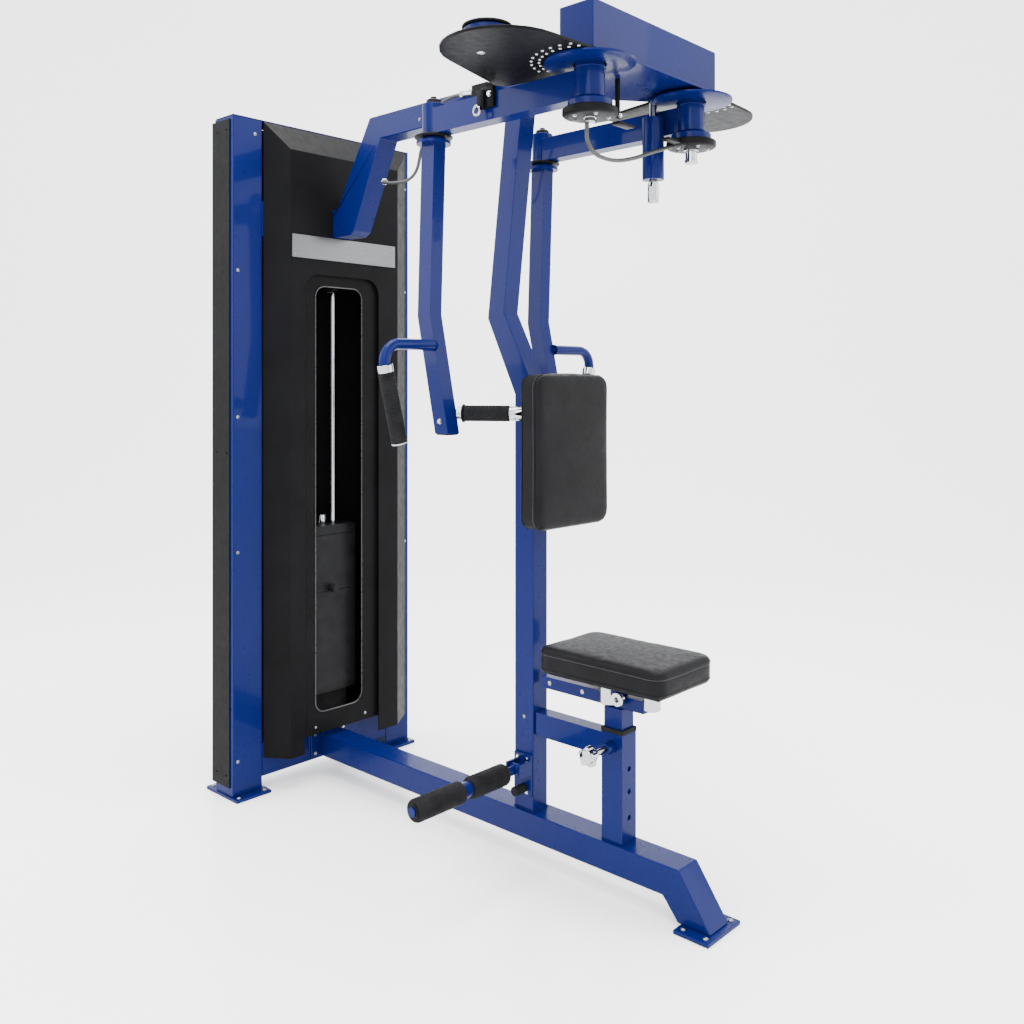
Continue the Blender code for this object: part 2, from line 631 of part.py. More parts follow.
def make_outer_handle(side, name, x, parent):
    root_x = x + side * (ARM_X / 2 + GAP)
    y = SWIVEL[1] - 0.022
    turn_x = root_x + side * (PEC_OUT - PEC_BEND - 0.018)
    path = [(root_x, y, PEC_Z), (turn_x, y, PEC_Z)]
    for step in range(1, 9):
        a = radians(90 - (90 + GRIP_LEAN) * step / 8)
        path.append((turn_x + side * PEC_BEND * cos(a), y, PEC_Z - PEC_BEND + PEC_BEND * sin(a)))
    down = Vector((-side * sin(radians(GRIP_LEAN)), 0, -cos(radians(GRIP_LEAN))))
    knee = Vector(path[-1])
    path.append(knee + down * GRIP_START / 2)
    bar_end = knee + down * (GRIP_END - 0.006)
    path.append(bar_end)
    bent_tube(name + "_outer_handle", path, TUBE_R, "blue_paint", sides=2, parent=parent)
    start, end = knee + down * GRIP_START, knee + down * GRIP_END
    grip = add(name + "_outer_grip", rod(start, end, GRIP_R), "rubber", parent=parent, smooth=True)
    cut(grip, rod(start - down * 0.01, bar_end + down * GAP, TUBE_R + GAP * 2, FINE))


def make_inner_handle(side, name, x, y, parent):
    heading = Vector((-side * ROW_DIR[0], ROW_DIR[1], 0)).normalized()
    arm_y = ARM_END[0] + (ROW_Z - ARM_END[1]) * 0.217
    start = Vector((x - side * (ARM_X / 2 + 0.0045), arm_y - 0.014, ROW_Z))
    end = start + heading * ROW_LEN
    bar = add(name + "_inner_handle", rod(start, end, 0.0100), "chrome", parent=parent, smooth=True)
    weld(bar, rod(end - heading * 0.022, end + heading * 0.006, GRIP_R * 0.92))
    trim = sorted((x - side * (ARM_X / 2 + GAP), x + side * 0.05))
    cut(bar, box(trim, (arm_y - 0.06, arm_y + 0.06), (ROW_Z - 0.03, ROW_Z + 0.03)))
    grip = add(name + "_inner_grip", rod(start + heading * 0.022, end - heading * 0.024, GRIP_R), "rubber",
               parent=parent, smooth=True)
    cut(grip, rod(start, end, 0.0103))


# ---- pads, seat and foot lever ------------------------------------------------------------------
def cushion(x, y, z, edge):
    """A plain pad block with eased edges."""
    bm = box(x, y, z)
    bmesh.ops.bevel(bm, geom=bm.edges[:], offset=edge, affect="EDGES", segments=2, profile=0.5)
    return bm


def make_chest_pad():
    half, depth, tall = PAD_SPAN[0] / 2, PAD_SPAN[1], PAD_SPAN[2] / 2
    back = PAD_FRONT + depth
    add("chest_pad", cushion((-half, half), (PAD_FRONT, back), (PAD_Z - tall, PAD_Z + tall), 0.014),
        "leatherette")
    bracket = add("chest_pad_bracket", box((-0.055, 0.055), (back + GAP, back + GAP + 0.005),
                                           (PAD_Z - 0.10, PAD_Z + 0.10)),
                  "blue_paint")
    weld(bracket, box((-0.020, 0.020), (back + 0.003, COLUMN_FRONT - GAP), (PAD_Z - 0.05, PAD_Z + 0.05)))


def make_seat_post():
    y0, y1 = POST_Y
    sleeve = add("seat_post_sleeve", box((-POST_HALF, POST_HALF), (y0, y1), (BEAM_TOP + GAP, POST_TOP)),
                 "blue_paint")
    cut(sleeve, box(inset(-POST_HALF, POST_HALF, WALL), inset(y0, y1, WALL),
                    (BEAM_TOP - 0.01, POST_TOP + 0.01)))
    weld(sleeve, rod((-POST_HALF - 0.026, *SEAT_PIN), (-POST_HALF + 0.002, *SEAT_PIN), 0.0130))
    cut(sleeve, rod((-POST_HALF - 0.04, *SEAT_PIN), (-POST_HALF + 0.004, *SEAT_PIN), 0.0072))
    for z in (0.169, 0.225, 0.274):
        cut(sleeve, rod((0, y0 - 0.01, z), (0, y0 + 0.005, z), 0.0060, 10))
    collar = add("post_collar", box((-POST_HALF - 0.001, POST_HALF + 0.001), (y0 - 0.001, y1 + 0.001),
                                    (POST_TOP + GAP, POST_TOP + 0.010)), "rubber")
    slack = WALL + 0.0006
    cut(collar, box(inset(-POST_HALF, POST_HALF, slack), inset(y0, y1, slack),
                    (POST_TOP - 0.01, POST_TOP + 0.02)))
    add("seat_brace", box((-0.019, 0.019), (y1 + GAP, COLUMN_FRONT - GAP), (0.292, 0.345)), "blue_paint")


def make_seat(parent):
    slack = WALL + 0.0010
    x = inset(-POST_HALF, POST_HALF, slack)
    y = inset(*POST_Y, slack)
    add("seat_post", box(x, y, (BEAM_TOP + 0.030, RAIL_Z[0] - GAP)), "blue_paint", parent=parent)
    wide, deep, thick = SEAT_SPAN
    base = SEAT_TOP - thick
    rail = add("seat_rail", box((-0.015, 0.015), RAIL_Y, RAIL_Z), "blue_paint", parent=parent)
    weld(rail, box((-0.050, 0.050), (0.110, 0.330), (base - GAP - 0.006, base - GAP)))
    middle = sum(POST_Y) / 2
    weld(rail, rod((0, middle, RAIL_Z[1] - 0.002), (0, middle, base - 0.002), 0.0210, ROUND))
    boss_y, boss_r = FRONT_BOSS
    weld(rail, rod((0, boss_y, RAIL_Z[0] + 0.012), (0, boss_y, base - 0.002), boss_r, ROUND))
    half = wide / 2
    add("seat_pad", cushion((-half, half), (SEAT_Y - deep / 2, SEAT_Y + deep / 2), (base, SEAT_TOP), 0.012),
        "leatherette", parent=parent)


def make_seat_pin(parent):
    face = -POST_HALF
    pin = add("seat_pin", rod((face - SEAT_KNOB[1], *SEAT_PIN), (face - SEAT_KNOB[0], *SEAT_PIN), 0.0150, FINE, 0.0105),
              "chrome", parent=parent, smooth=True)
    weld(pin, rod((face - SEAT_KNOB[0] - 0.003, *SEAT_PIN), (face + 0.0025, *SEAT_PIN), 0.0066, 12))


def make_foot_lever(parent):
    face = -COLUMN_HALF
    bracket = add("foot_lever_bracket", box((face - GAP - 0.006, face - GAP), (0.449, 0.501),
                                            (0.150, 0.246)), "blue_paint")
    for y in ((0.449, 0.455), (0.485, 0.491)):
        weld(bracket, box((face - 0.046, face - 0.003), y, (LEVER_Z - 0.016, LEVER_Z + 0.016)))
    hinge_x = LEVER_HINGE_X
    weld(bracket, rod((hinge_x, 0.452, LEVER_Z), (hinge_x, 0.488, LEVER_Z), 0.0050))
    stop = add("foot_lever_bumper", rod((face - GAP - 0.0065, LEVER_Y, 0.168),
                                        (face - 0.040, LEVER_Y, 0.168), 0.0110),
               "rubber", smooth=True)
    end = -0.378
    bar = add("foot_lever_bar", rod((end, LEVER_Y, LEVER_Z), (hinge_x - 0.008, LEVER_Y, LEVER_Z),
                                    LEVER_R), "blue_paint",
              parent=parent, smooth=True)
    weld(bar, rod((hinge_x, LEVER_Y - 0.013, LEVER_Z), (hinge_x, LEVER_Y + 0.013, LEVER_Z), 0.0125))
    weld(bar, rod((-0.234, LEVER_Y, LEVER_Z), (-0.212, LEVER_Y, LEVER_Z), 0.0170))
    cut(bar, rod((hinge_x, LEVER_Y - 0.03, LEVER_Z), (hinge_x, LEVER_Y + 0.03, LEVER_Z), 0.0056))
    for name, x0, x1 in (("inner_foot_roller", -0.210, -0.098), ("outer_foot_roller", -0.372, -0.236)):
        roller = add(name, rod((x0, LEVER_Y, LEVER_Z), (x1, LEVER_Y, LEVER_Z), ROLLER_R), "rubber",
                     parent=parent,
                     smooth=True)
        cut(roller, rod((x0 - 0.01, LEVER_Y, LEVER_Z), (x1 + 0.01, LEVER_Y, LEVER_Z), LEVER_R + GAP * 2))
    return stop


# ---- cables -------------------------------------------------------------------------------------


def make_cables():
    bent_tube("arm_cable", smooth_path(ARM_CABLE, 4), CABLE_R, "cable_jacket", sides=2)
    bracket = add("cable_bracket", box((-0.062, -BOOM_HALF - GAP), (0.560, 0.6105), (1.775, 1.815)),
                  "black_paint")
    weld(bracket, rod((-0.050, 0.585, 1.735), (-0.050, 0.585, 1.780), 0.0100))
    return bracket


# ---- assembly -----------------------------------------------------------------------------------
def main():
    clear_scene()
    make_base()
    make_column()
    make_boom()
    make_header()
    make_pivot_shafts()
    make_tower_frame()
    make_shroud()
    make_guides()
    carriage = pivot_empty("carriage_axis", (0, STACK_Y, STACK_BASE))
    pin_z, stem_top = make_weights(carriage)
    make_selector_pin(pivot_empty("selector_pin_axis", (0, STACK_Y, pin_z)), pin_z)
    make_pulley(pivot_empty("pulley_axis", (0, STACK_Y - PULLEY_R, PULLEY_Z)))
    for side, name in ((-1, "left"), (1, "right")):
        make_cam(side, name, pivot_empty(name + "_cam_axis", (side * PIVOT[0], PIVOT[1], CAM_Z[0])))
        make_link(side, name, pivot_empty(name + "_link_axis", (side * PIVOT[0], PIVOT[1], LINK_Z[0])))
        make_arm(side, name, pivot_empty(name + "_arm_axis", (side * SWIVEL[0], SWIVEL[1], ARM_TOP)))
    make_range_pin(pivot_empty("range_pin_axis", (*RANGE_PIN, 1.56)))
    make_chest_pad()
    make_seat_post()
    make_seat(pivot_empty("seat_axis", (0, sum(POST_Y) / 2, POST_TOP)))
    make_seat_pin(pivot_empty("seat_pin_axis", (-POST_HALF, *SEAT_PIN)))
    make_foot_lever(pivot_empty("foot_lever_axis", (LEVER_HINGE_X, LEVER_Y, LEVER_Z)))
    make_cables()


main()
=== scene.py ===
"""Pec deck machine: the finish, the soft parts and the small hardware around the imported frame.

Metres, +Z up, user's end at -Y. Bolts are laid on the frame's nodes by ray. Other places come from the nodes'
boxes, or from the named sizes below, which repeat the frame's own.
"""
import json
from math import cos, pi, radians, sin

import bmesh
import bpy
from mathutils import Matrix, Vector
from mathutils.bvhtree import BVHTree


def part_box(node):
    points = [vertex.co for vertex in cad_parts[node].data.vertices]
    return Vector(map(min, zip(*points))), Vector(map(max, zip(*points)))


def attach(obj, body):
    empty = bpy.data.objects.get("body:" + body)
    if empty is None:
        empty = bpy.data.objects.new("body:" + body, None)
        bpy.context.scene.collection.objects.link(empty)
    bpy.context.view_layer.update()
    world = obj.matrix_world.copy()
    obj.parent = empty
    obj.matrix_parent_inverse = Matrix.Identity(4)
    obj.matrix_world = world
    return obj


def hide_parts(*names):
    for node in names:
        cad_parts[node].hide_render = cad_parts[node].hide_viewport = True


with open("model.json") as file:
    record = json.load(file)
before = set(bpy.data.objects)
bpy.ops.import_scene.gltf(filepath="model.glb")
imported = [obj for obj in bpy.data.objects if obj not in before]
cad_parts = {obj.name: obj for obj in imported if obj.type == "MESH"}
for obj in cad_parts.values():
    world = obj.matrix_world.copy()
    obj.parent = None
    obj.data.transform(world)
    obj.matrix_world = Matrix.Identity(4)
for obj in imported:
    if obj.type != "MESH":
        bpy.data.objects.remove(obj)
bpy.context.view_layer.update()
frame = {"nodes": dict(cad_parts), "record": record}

bl_info = {
    "name": "Pec deck machine",
    "version": (1, 0, 0),
    "blender": (4, 5, 0),
    "location": "View3D > Sidebar > Pec deck",
    "description": "Builds the finish, pads and hardware of a pec deck machine around its frame",
    "category": "Object",
}

MATERIALS = {}

# sizes that repeat the frame's own
UP = (0, 0, 1)
SWIVEL = (0.190, 0.605)         # |x|, y of an arm's upright swivel
ARM_END_Y = 0.560
ARM_END_Z = 0.990
ARM_SLOPE = 0.217               # how far the arm's lower part runs in y for each metre of height
INNER_Z = 1.036                 # height of the inner handles
PIVOT_DISC_Z = (1.6330, 1.6495)
WINDOW_HALF = (0.080, 0.592)
WINDOW_Z = 0.782                # height of the window's middle
WINDOW_CORNER = 0.030
BEVEL_WAY = (0.589, -0.808)     # x, y that the shroud's right bevel faces
COLUMN_FOOT = (0.0245, 0.4470, 0.5040)   # half width, front y, back y

# sizes of the hardware
GRIP_RADIUS = 0.0180
GRIP_LEAN = radians(14)
INNER_GRIP_LENGTH = 0.104
OUTER_BORE = 0.0125
INNER_BORE = 0.0103
COLLAR_LENGTH = 0.0175
START_PLATE_RADIUS = 0.092
CAM_ARCS = ((0.101, 0), (0.117, 5))      # radius and first angle of each arc of cam bolts
CAM_ARC_BOLTS = 11
CAM_ROLLER = (0.385, 0.245)     # |x|, y
CAM_CENTRE = (0.372, 0.275)
UNDER_CAMS = 1.70               # a height under the cam plates, from which their bolts are sought
HUB_SEAM_Z = (1.6685, 1.7280)
SWIVEL_DISC_Z = 1.6640
SWIVEL_CAP_Z = (1.7430, 1.7530)
STITCH_PITCH = 0.0060
STITCH_LENGTH = 0.0038
RIB_PITCH = 0.0080
ROLLER_RADIUS = 0.046
SHEATH_RADIUS = 0.0045
CUSHION_VOXEL = 0.005
CUSHION_CORNER = 0.030
CUSHION_INSET = Vector((0.001, 0.001, 0.001))
CLOTH_FRAMES = 20
CROWN = 0.0035                  # how much a cushion's middle stands above its edge


# ---- small tools ----
def box_of(node):
    """Lowest corner, highest corner and middle of a frame node."""
    low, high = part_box(node)
    return low, high, (low + high) / 2


def add_block(bm, low, high, ease=0.0, steps=2):
    """A block between two corners, with eased edges."""
    low, high = Vector(low), Vector(high)
    made = bmesh.ops.create_cube(bm, size=1.0)
    verts = made["verts"]
    size = high - low
    place = Matrix.Translation((low + high) / 2) @ Matrix.Diagonal(size).to_4x4()
    bmesh.ops.transform(bm, matrix=place, verts=verts)
    if ease > 0:
        edges = list({edge for vert in verts for edge in vert.link_edges})
        bmesh.ops.bevel(bm, geom=edges, offset=ease, offset_type="OFFSET", affect="EDGES", segments=steps,
                        profile=0.5, material=-1)


def add_prism(bm, outline, way):
    """A flat outline carried along a way."""
    face = bm.faces.new([bm.verts.new(point) for point in outline])
    grown = bmesh.ops.extrude_face_region(bm, geom=[face])
    moved = [item for item in grown["geom"] if isinstance(item, bmesh.types.BMVert)]
    bmesh.ops.translate(bm, verts=moved, vec=way)


def turn_to(origin, direction):
    """A matrix that carries +Z onto a direction at an origin."""
    return Matrix.Translation(Vector(origin)) @ Vector(direction).to_track_quat("Z", "Y").to_matrix().to_4x4()


def add_turned(bm, profile, origin, direction, facets=32):
    """A (radius, height) profile turned round a direction through origin. A zero radius closes a pole."""
    place = turn_to(origin, direction)
    verts = [bm.verts.new(place @ Vector((r, 0, h))) for r, h in profile]
    edges = [bm.edges.new(pair) for pair in zip(verts, verts[1:])]
    closed = profile[0][0] > 0 and profile[-1][0] > 0
    if closed:
        edges.append(bm.edges.new((verts[-1], verts[0])))
    axis = place.to_3x3() @ Vector(UP)
    before = set(bm.verts)
    bmesh.ops.spin(bm, geom=verts + edges, cent=place.translation, axis=axis, angle=2 * pi, steps=facets,
                   use_merge=True)
    grown = [vert for vert in bm.verts if vert in set(verts) or vert not in before]
    bmesh.ops.remove_doubles(bm, verts=grown, dist=1e-6)


def add_rod(bm, start, end, radius, facets=24, ease=0.0006):
    """A bar between two points with eased ends."""
    start, end = Vector(start), Vector(end)
    long = (end - start).length
    profile = [(0, 0), (radius - ease, 0), (radius, ease), (radius, long - ease), (radius - ease, long),
               (0, long)]
    add_turned(bm, profile, start, end - start, facets)


def add_hex(bm, origin, direction, across, height):
    """A hexagonal head with its crown eased."""
    place = turn_to(origin, direction)
    made = bmesh.ops.create_cone(bm, cap_ends=True, segments=6, radius1=across / 1.732,
                                 radius2=across / 1.732, depth=height)
    verts = made["verts"]
    bmesh.ops.transform(bm, matrix=place @ Matrix.Translation((0, 0, height / 2)), verts=verts)
    edges = list({edge for vert in verts for edge in vert.link_edges})
    bmesh.ops.bevel(bm, geom=edges, offset=height * 0.14, affect="EDGES", segments=1, profile=0.5,
                    material=-1)


def add_bolt(bm, origin, direction, size, hexagon=True):
    """A washer with a hexagon or a button head on it. size is the thread's width."""
    way = Vector(direction).normalized()
    origin = Vector(origin)
    washer = [(0, 0), (size * 1.02, 0), (size * 1.06, size * 0.05), (size * 1.04, size * 0.16),
              (0, size * 0.16)]
    add_turned(bm, washer, origin, way, 20)
    seat = origin + way * size * 0.14
    if hexagon:
        add_hex(bm, seat, way, size * 1.6, size * 0.62)
        return
    dome = [(0, 0)] + [(size * 0.86 * cos(a), size * 0.50 * sin(a)) for a in (0.0, 0.35, 0.7, 1.05, 1.25)]
    dome += [(size * 0.24, size * 0.485), (size * 0.22, size * 0.28), (0, size * 0.26)]
    add_turned(bm, dome, seat, way, 20)


def add_tube(bm, path, radius, facets=12, closed=False):
    """A round section carried along a path."""
    curve = bpy.data.curves.new("path", "CURVE")
    curve.dimensions = "3D"
    curve.bevel_depth = radius
    curve.bevel_resolution = max(1, facets // 4 - 1)
    curve.use_fill_caps = not closed
    spline = curve.splines.new("POLY")
    spline.points.add(len(path) - 1)
    spline.use_cyclic_u = closed
    for point, place in zip(spline.points, path):
        point.co = (*place, 1.0)
    holder = bpy.data.objects.new("path", curve)
    bpy.context.scene.collection.objects.link(holder)
    bpy.context.view_layer.update()
    mesh = bpy.data.meshes.new_from_object(holder.evaluated_get(bpy.context.evaluated_depsgraph_get()))
    bm.from_mesh(mesh)
    bpy.data.objects.remove(holder)
    bpy.data.curves.remove(curve)
    bpy.data.meshes.remove(mesh)


def smooth_path(points, steps):
    """A Catmull-Rom curve through the points."""
    knots = [Vector(p) for p in points]
    knots = [2 * knots[0] - knots[1]] + knots + [2 * knots[-1] - knots[-2]]
    path = []
    for i in range(1, len(knots) - 2):
        a, b, c, d = knots[i - 1:i + 3]
        for j in range(steps):
            t = j / steps
            path.append(0.5 * (2 * b + (c - a) * t + (2 * a - 5 * b + 4 * c - d) * t * t
                               + (3 * b - a - 3 * c + d) * t ** 3))
    return path + [knots[-2]]


def rounded_outline(half_wide, half_tall, corner, steps=8):
    """A rounded rectangle about the middle, as (a, b) points."""
    points = []
    for start, ca, cb in ((0, 1, 1), (90, -1, 1), (180, -1, -1), (270, 1, -1)):
        for i in range(steps + 1):
            a = radians(start + 90 * i / steps)
            points.append((ca * (half_wide - corner) + corner * cos(a),
                           cb * (half_tall - corner) + corner * sin(a)))
    return points


def piece(name, bm, material, body, slot, nodes=(), sharp=32):
    """A bmesh becomes a finished piece that rides on a body."""
    bmesh.ops.remove_doubles(bm, verts=bm.verts, dist=1e-7)
    bmesh.ops.recalc_face_normals(bm, faces=bm.faces)
    mesh = bpy.data.meshes.new(name)
    bm.to_mesh(mesh)
    bm.free()
    mesh.materials.append(MATERIALS[material])
    mesh.shade_smooth()
    mesh.set_sharp_from_angle(angle=radians(sharp))
    obj = bpy.data.objects.new(name, mesh)
    bpy.context.scene.collection.objects.link(obj)
    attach(obj, body)
    if nodes:
        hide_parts(*nodes)
    return obj


def turned_piece(name, profile, origin, direction, facets, *look, sharp=32):
    """A piece that is one turned profile. The look is the material, body, slot (not used) and replaced nodes.
    """
    bm = bmesh.new()
    add_turned(bm, profile, origin, direction, facets)
    return piece(name, bm, *look, sharp=sharp)


# ---- materials ----
NOISE_SPAN = (0.3, 0.7)         # the part of a noise's range that a colour or a roughness runs over


class Finish:
    """A Principled material and the short calls that give it grain, wear and relief."""

    def __init__(self, name, colour, roughness, metallic=0.0):
        self.material = bpy.data.materials.new(name)
        self.material.use_nodes = True
        self.tree = self.material.node_tree
        self.shader = self.tree.nodes["Principled BSDF"]
        self.set("Base Color", (*colour, 1.0))
        self.set("Roughness", roughness)
        self.set("Metallic", metallic)
        self.material.diffuse_color = (*colour, 1.0)
        self.coords = self.tree.nodes.new("ShaderNodeTexCoord")
        MATERIALS[name] = self.material

    def set(self, socket, value):
        self.shader.inputs[socket].default_value = value

    def link(self, a, b):
        self.tree.links.new(a, b)

    def stretched(self, scale):
        mapping = self.tree.nodes.new("ShaderNodeMapping")
        mapping.inputs["Scale"].default_value = scale
        self.link(self.coords.outputs["Object"], mapping.inputs["Vector"])
        return mapping.outputs["Vector"]

    def noise(self, scale, detail=3.0, stretch=(1, 1, 1), rough=0.5):
        node = self.tree.nodes.new("ShaderNodeTexNoise")
        node.inputs["Scale"].default_value = scale
        node.inputs["Detail"].default_value = detail
        node.inputs["Roughness"].default_value = rough
        self.link(self.stretched(stretch), node.inputs["Vector"])
        return node.outputs["Fac"]

    def cells(self, scale):
        node = self.tree.nodes.new("ShaderNodeTexVoronoi")
        node.inputs["Scale"].default_value = scale
        self.link(self.stretched((1, 1, 1)), node.inputs["Vector"])
        return node.outputs["Distance"]

    def shade(self, value, dark, light):
        """Colour that wanders between two tones."""
        ramp = self.tree.nodes.new("ShaderNodeValToRGB")
        for stop, place, tone in zip(ramp.color_ramp.elements, NOISE_SPAN, (dark, light)):
            stop.position = place
            stop.color = (*tone, 1.0)
        self.link(value, ramp.inputs["Fac"])
        self.link(ramp.outputs["Color"], self.shader.inputs["Base Color"])

    def gloss(self, value, low, high):
        """Roughness that wanders between two values."""
        node = self.tree.nodes.new("ShaderNodeMapRange")
        sockets = ("From Min", "From Max", "To Min", "To Max")
        for socket, number in zip(sockets, (*NOISE_SPAN, low, high)):
            node.inputs[socket].default_value = number
        self.link(value, node.inputs["Value"])
        self.link(node.outputs["Result"], self.shader.inputs["Roughness"])

    def relief(self, *layers):
        """Bump layers as (value, strength, distance), one on the next."""
        previous = None
        for value, strength, distance in layers:
            node = self.tree.nodes.new("ShaderNodeBump")
            node.inputs["Strength"].default_value = strength
            node.inputs["Distance"].default_value = distance
            self.link(value, node.inputs["Height"])
            if previous is not None:
                self.link(previous, node.inputs["Normal"])
            previous = node.outputs["Normal"]
        self.link(previous, self.shader.inputs["Normal"])


def powder_blue(settings):
    base = Vector(settings.blue)
    coat = Finish("powder_blue", base, 0.30, 0.0)
    cloud = coat.noise(5.0, 4.0)
    coat.shade(cloud, base * 0.96, base * 1.04)
    coat.gloss(coat.noise(60.0, 2.0), 0.27, 0.31)
    coat.relief((coat.noise(260.0, 3.0), 0.02, 0.0001))
    coat.set("Coat Weight", 0.09)
    coat.set("Coat Roughness", 0.05)
    coat.set("Specular IOR Level", 0.05)


def satin_black(name, base, roughness):
    coat = Finish(name, base, roughness)
    coat.shade(coat.noise(9.0, 4.0), Vector(base) * 0.85, Vector(base) * 1.2)
    coat.gloss(coat.noise(55.0, 3.0), roughness - 0.05, roughness + 0.07)
    coat.relief((coat.noise(700.0, 2.0), 0.16, 0.0003))
    coat.set("Specular IOR Level", 0.035)


def bright_chrome():
    metal = Finish("bright_chrome", (0.36, 0.365, 0.375), 0.10, 1.0)
    metal.gloss(metal.noise(40.0, 3.0), 0.05, 0.12)
    metal.relief((metal.noise(160.0, 2.0), 0.03, 0.0002))


def zinc_steel():
    metal = Finish("zinc_steel", (0.26, 0.265, 0.275), 0.28, 1.0)
    metal.shade(metal.noise(120.0, 2.0), (0.15, 0.153, 0.160), (0.24, 0.244, 0.252))
    metal.gloss(metal.noise(200.0, 2.0), 0.22, 0.36)


def brushed_silver():
    metal = Finish("brushed_silver", (0.52, 0.53, 0.55), 0.33, 1.0)
    lines = metal.noise(30.0, 5.0, (1.0, 40.0, 60.0), 0.7)
    metal.shade(lines, (0.075, 0.077, 0.081), (0.135, 0.138, 0.143))
    metal.gloss(lines, 0.27, 0.42)
    metal.relief((lines, 0.08, 0.0003))


def black_leather():
    hide = Finish("black_leather", (0.008, 0.008, 0.0085), 0.46)
    hide.shade(hide.noise(14.0, 4.0), (0.0035, 0.0035, 0.0038), (0.0055, 0.0055, 0.0060))
    hide.gloss(hide.noise(90.0, 3.0), 0.40, 0.54)
    hide.relief((hide.cells(520.0), 0.28, 0.0005), (hide.noise(36.0, 3.0), 0.12, 0.0015))
    hide.set("Specular IOR Level", 0.055)


def moulded_rubber():
    rubber = Finish("moulded_rubber", (0.014, 0.014, 0.015), 0.72)
    rubber.shade(rubber.noise(30.0, 3.0), (0.004, 0.004, 0.0045), (0.009, 0.009, 0.0095))
    rubber.gloss(rubber.noise(150.0, 2.0), 0.64, 0.82)
    rubber.relief((rubber.cells(900.0), 0.35, 0.0004))
    rubber.set("Specular IOR Level", 0.06)


def dark_steel():
    metal = Finish("dark_steel", (0.005, 0.005, 0.0055), 0.42, 0.1)
    metal.set("Specular IOR Level", 0.08)
    metal.shade(metal.noise(25.0, 4.0), (0.0035, 0.0035, 0.0040), (0.0075, 0.0075, 0.0080))
    metal.gloss(metal.noise(80.0, 3.0), 0.34, 0.50)


def thread_grey():
    thread = Finish("thread_grey", (0.050, 0.050, 0.053), 0.7)
    thread.gloss(thread.noise(300.0, 2.0), 0.6, 0.8)
    thread.relief((thread.noise(900.0, 1.0), 0.3, 0.0003))


def cable_black():
    jacket = Finish("cable_black", (0.011, 0.011, 0.012), 0.42)
    jacket.gloss(jacket.noise(120.0, 2.0), 0.36, 0.50)
    jacket.relief((jacket.noise(600.0, 1.0), 0.10, 0.0002))


# Painted highlight: a black several times lighter than the covers, standing in for the light that catches the
# window's edge.
def painted_edge_highlight():
    metal = Finish("painted_edge_highlight", (0.020, 0.020, 0.021), 0.30)
    metal.gloss(metal.noise(80.0, 2.0), 0.24, 0.36)


def make_materials(settings):
    powder_blue(settings)
    satin_black("satin_black", settings.black, 0.46)
    satin_black("cam_black", (0.004, 0.004, 0.0045), 0.36)
    satin_black("moulded_plastic", (0.006, 0.006, 0.0065), 0.50)
    for maker in (bright_chrome, zinc_steel, brushed_silver, black_leather, moulded_rubber, dark_steel,
                  thread_grey, cable_black, painted_edge_highlight):
        maker()


# ---- settings ----
class PecDeckSettings(bpy.types.PropertyGroup):
    blue: bpy.props.FloatVectorProperty(name="Frame paint", description="Colour of the frame's powder coat",
                                        subtype="COLOR", size=3, min=0, max=1,
                                        default=(0.0008, 0.0042, 0.0560))
    black: bpy.props.FloatVectorProperty(name="Cover paint", description="Colour of the tower's covers",
                                         subtype="COLOR", size=3, min=0, max=1,
                                         default=(0.0035, 0.0035, 0.0038))
    edge: bpy.props.FloatProperty(name="Edge radius", description="Rounding of the frame's tube edges",
                                  subtype="DISTANCE", unit="LENGTH", min=0.0002, max=0.006, default=0.0030)
    pad_pressure: bpy.props.FloatProperty(name="Pad fill",
                                          description="Pressure that swells the pads in the cloth step",
                                          min=0, max=20, default=4.0)
    swell: bpy.props.FloatProperty(name="Pad swell", description="Most that a pad's cover may move outwards",
                                   subtype="DISTANCE", unit="LENGTH", min=0, max=0.03, default=0.0022)


def settings_of(context):
    return context.scene.pec_deck


# ---- stage ----
EYE = (-1.764, -1.090, 1.100)
HEADING = -47.33                # degrees about +Z, from looking along +Y
LENS = 35.39
SHIFT = -0.124


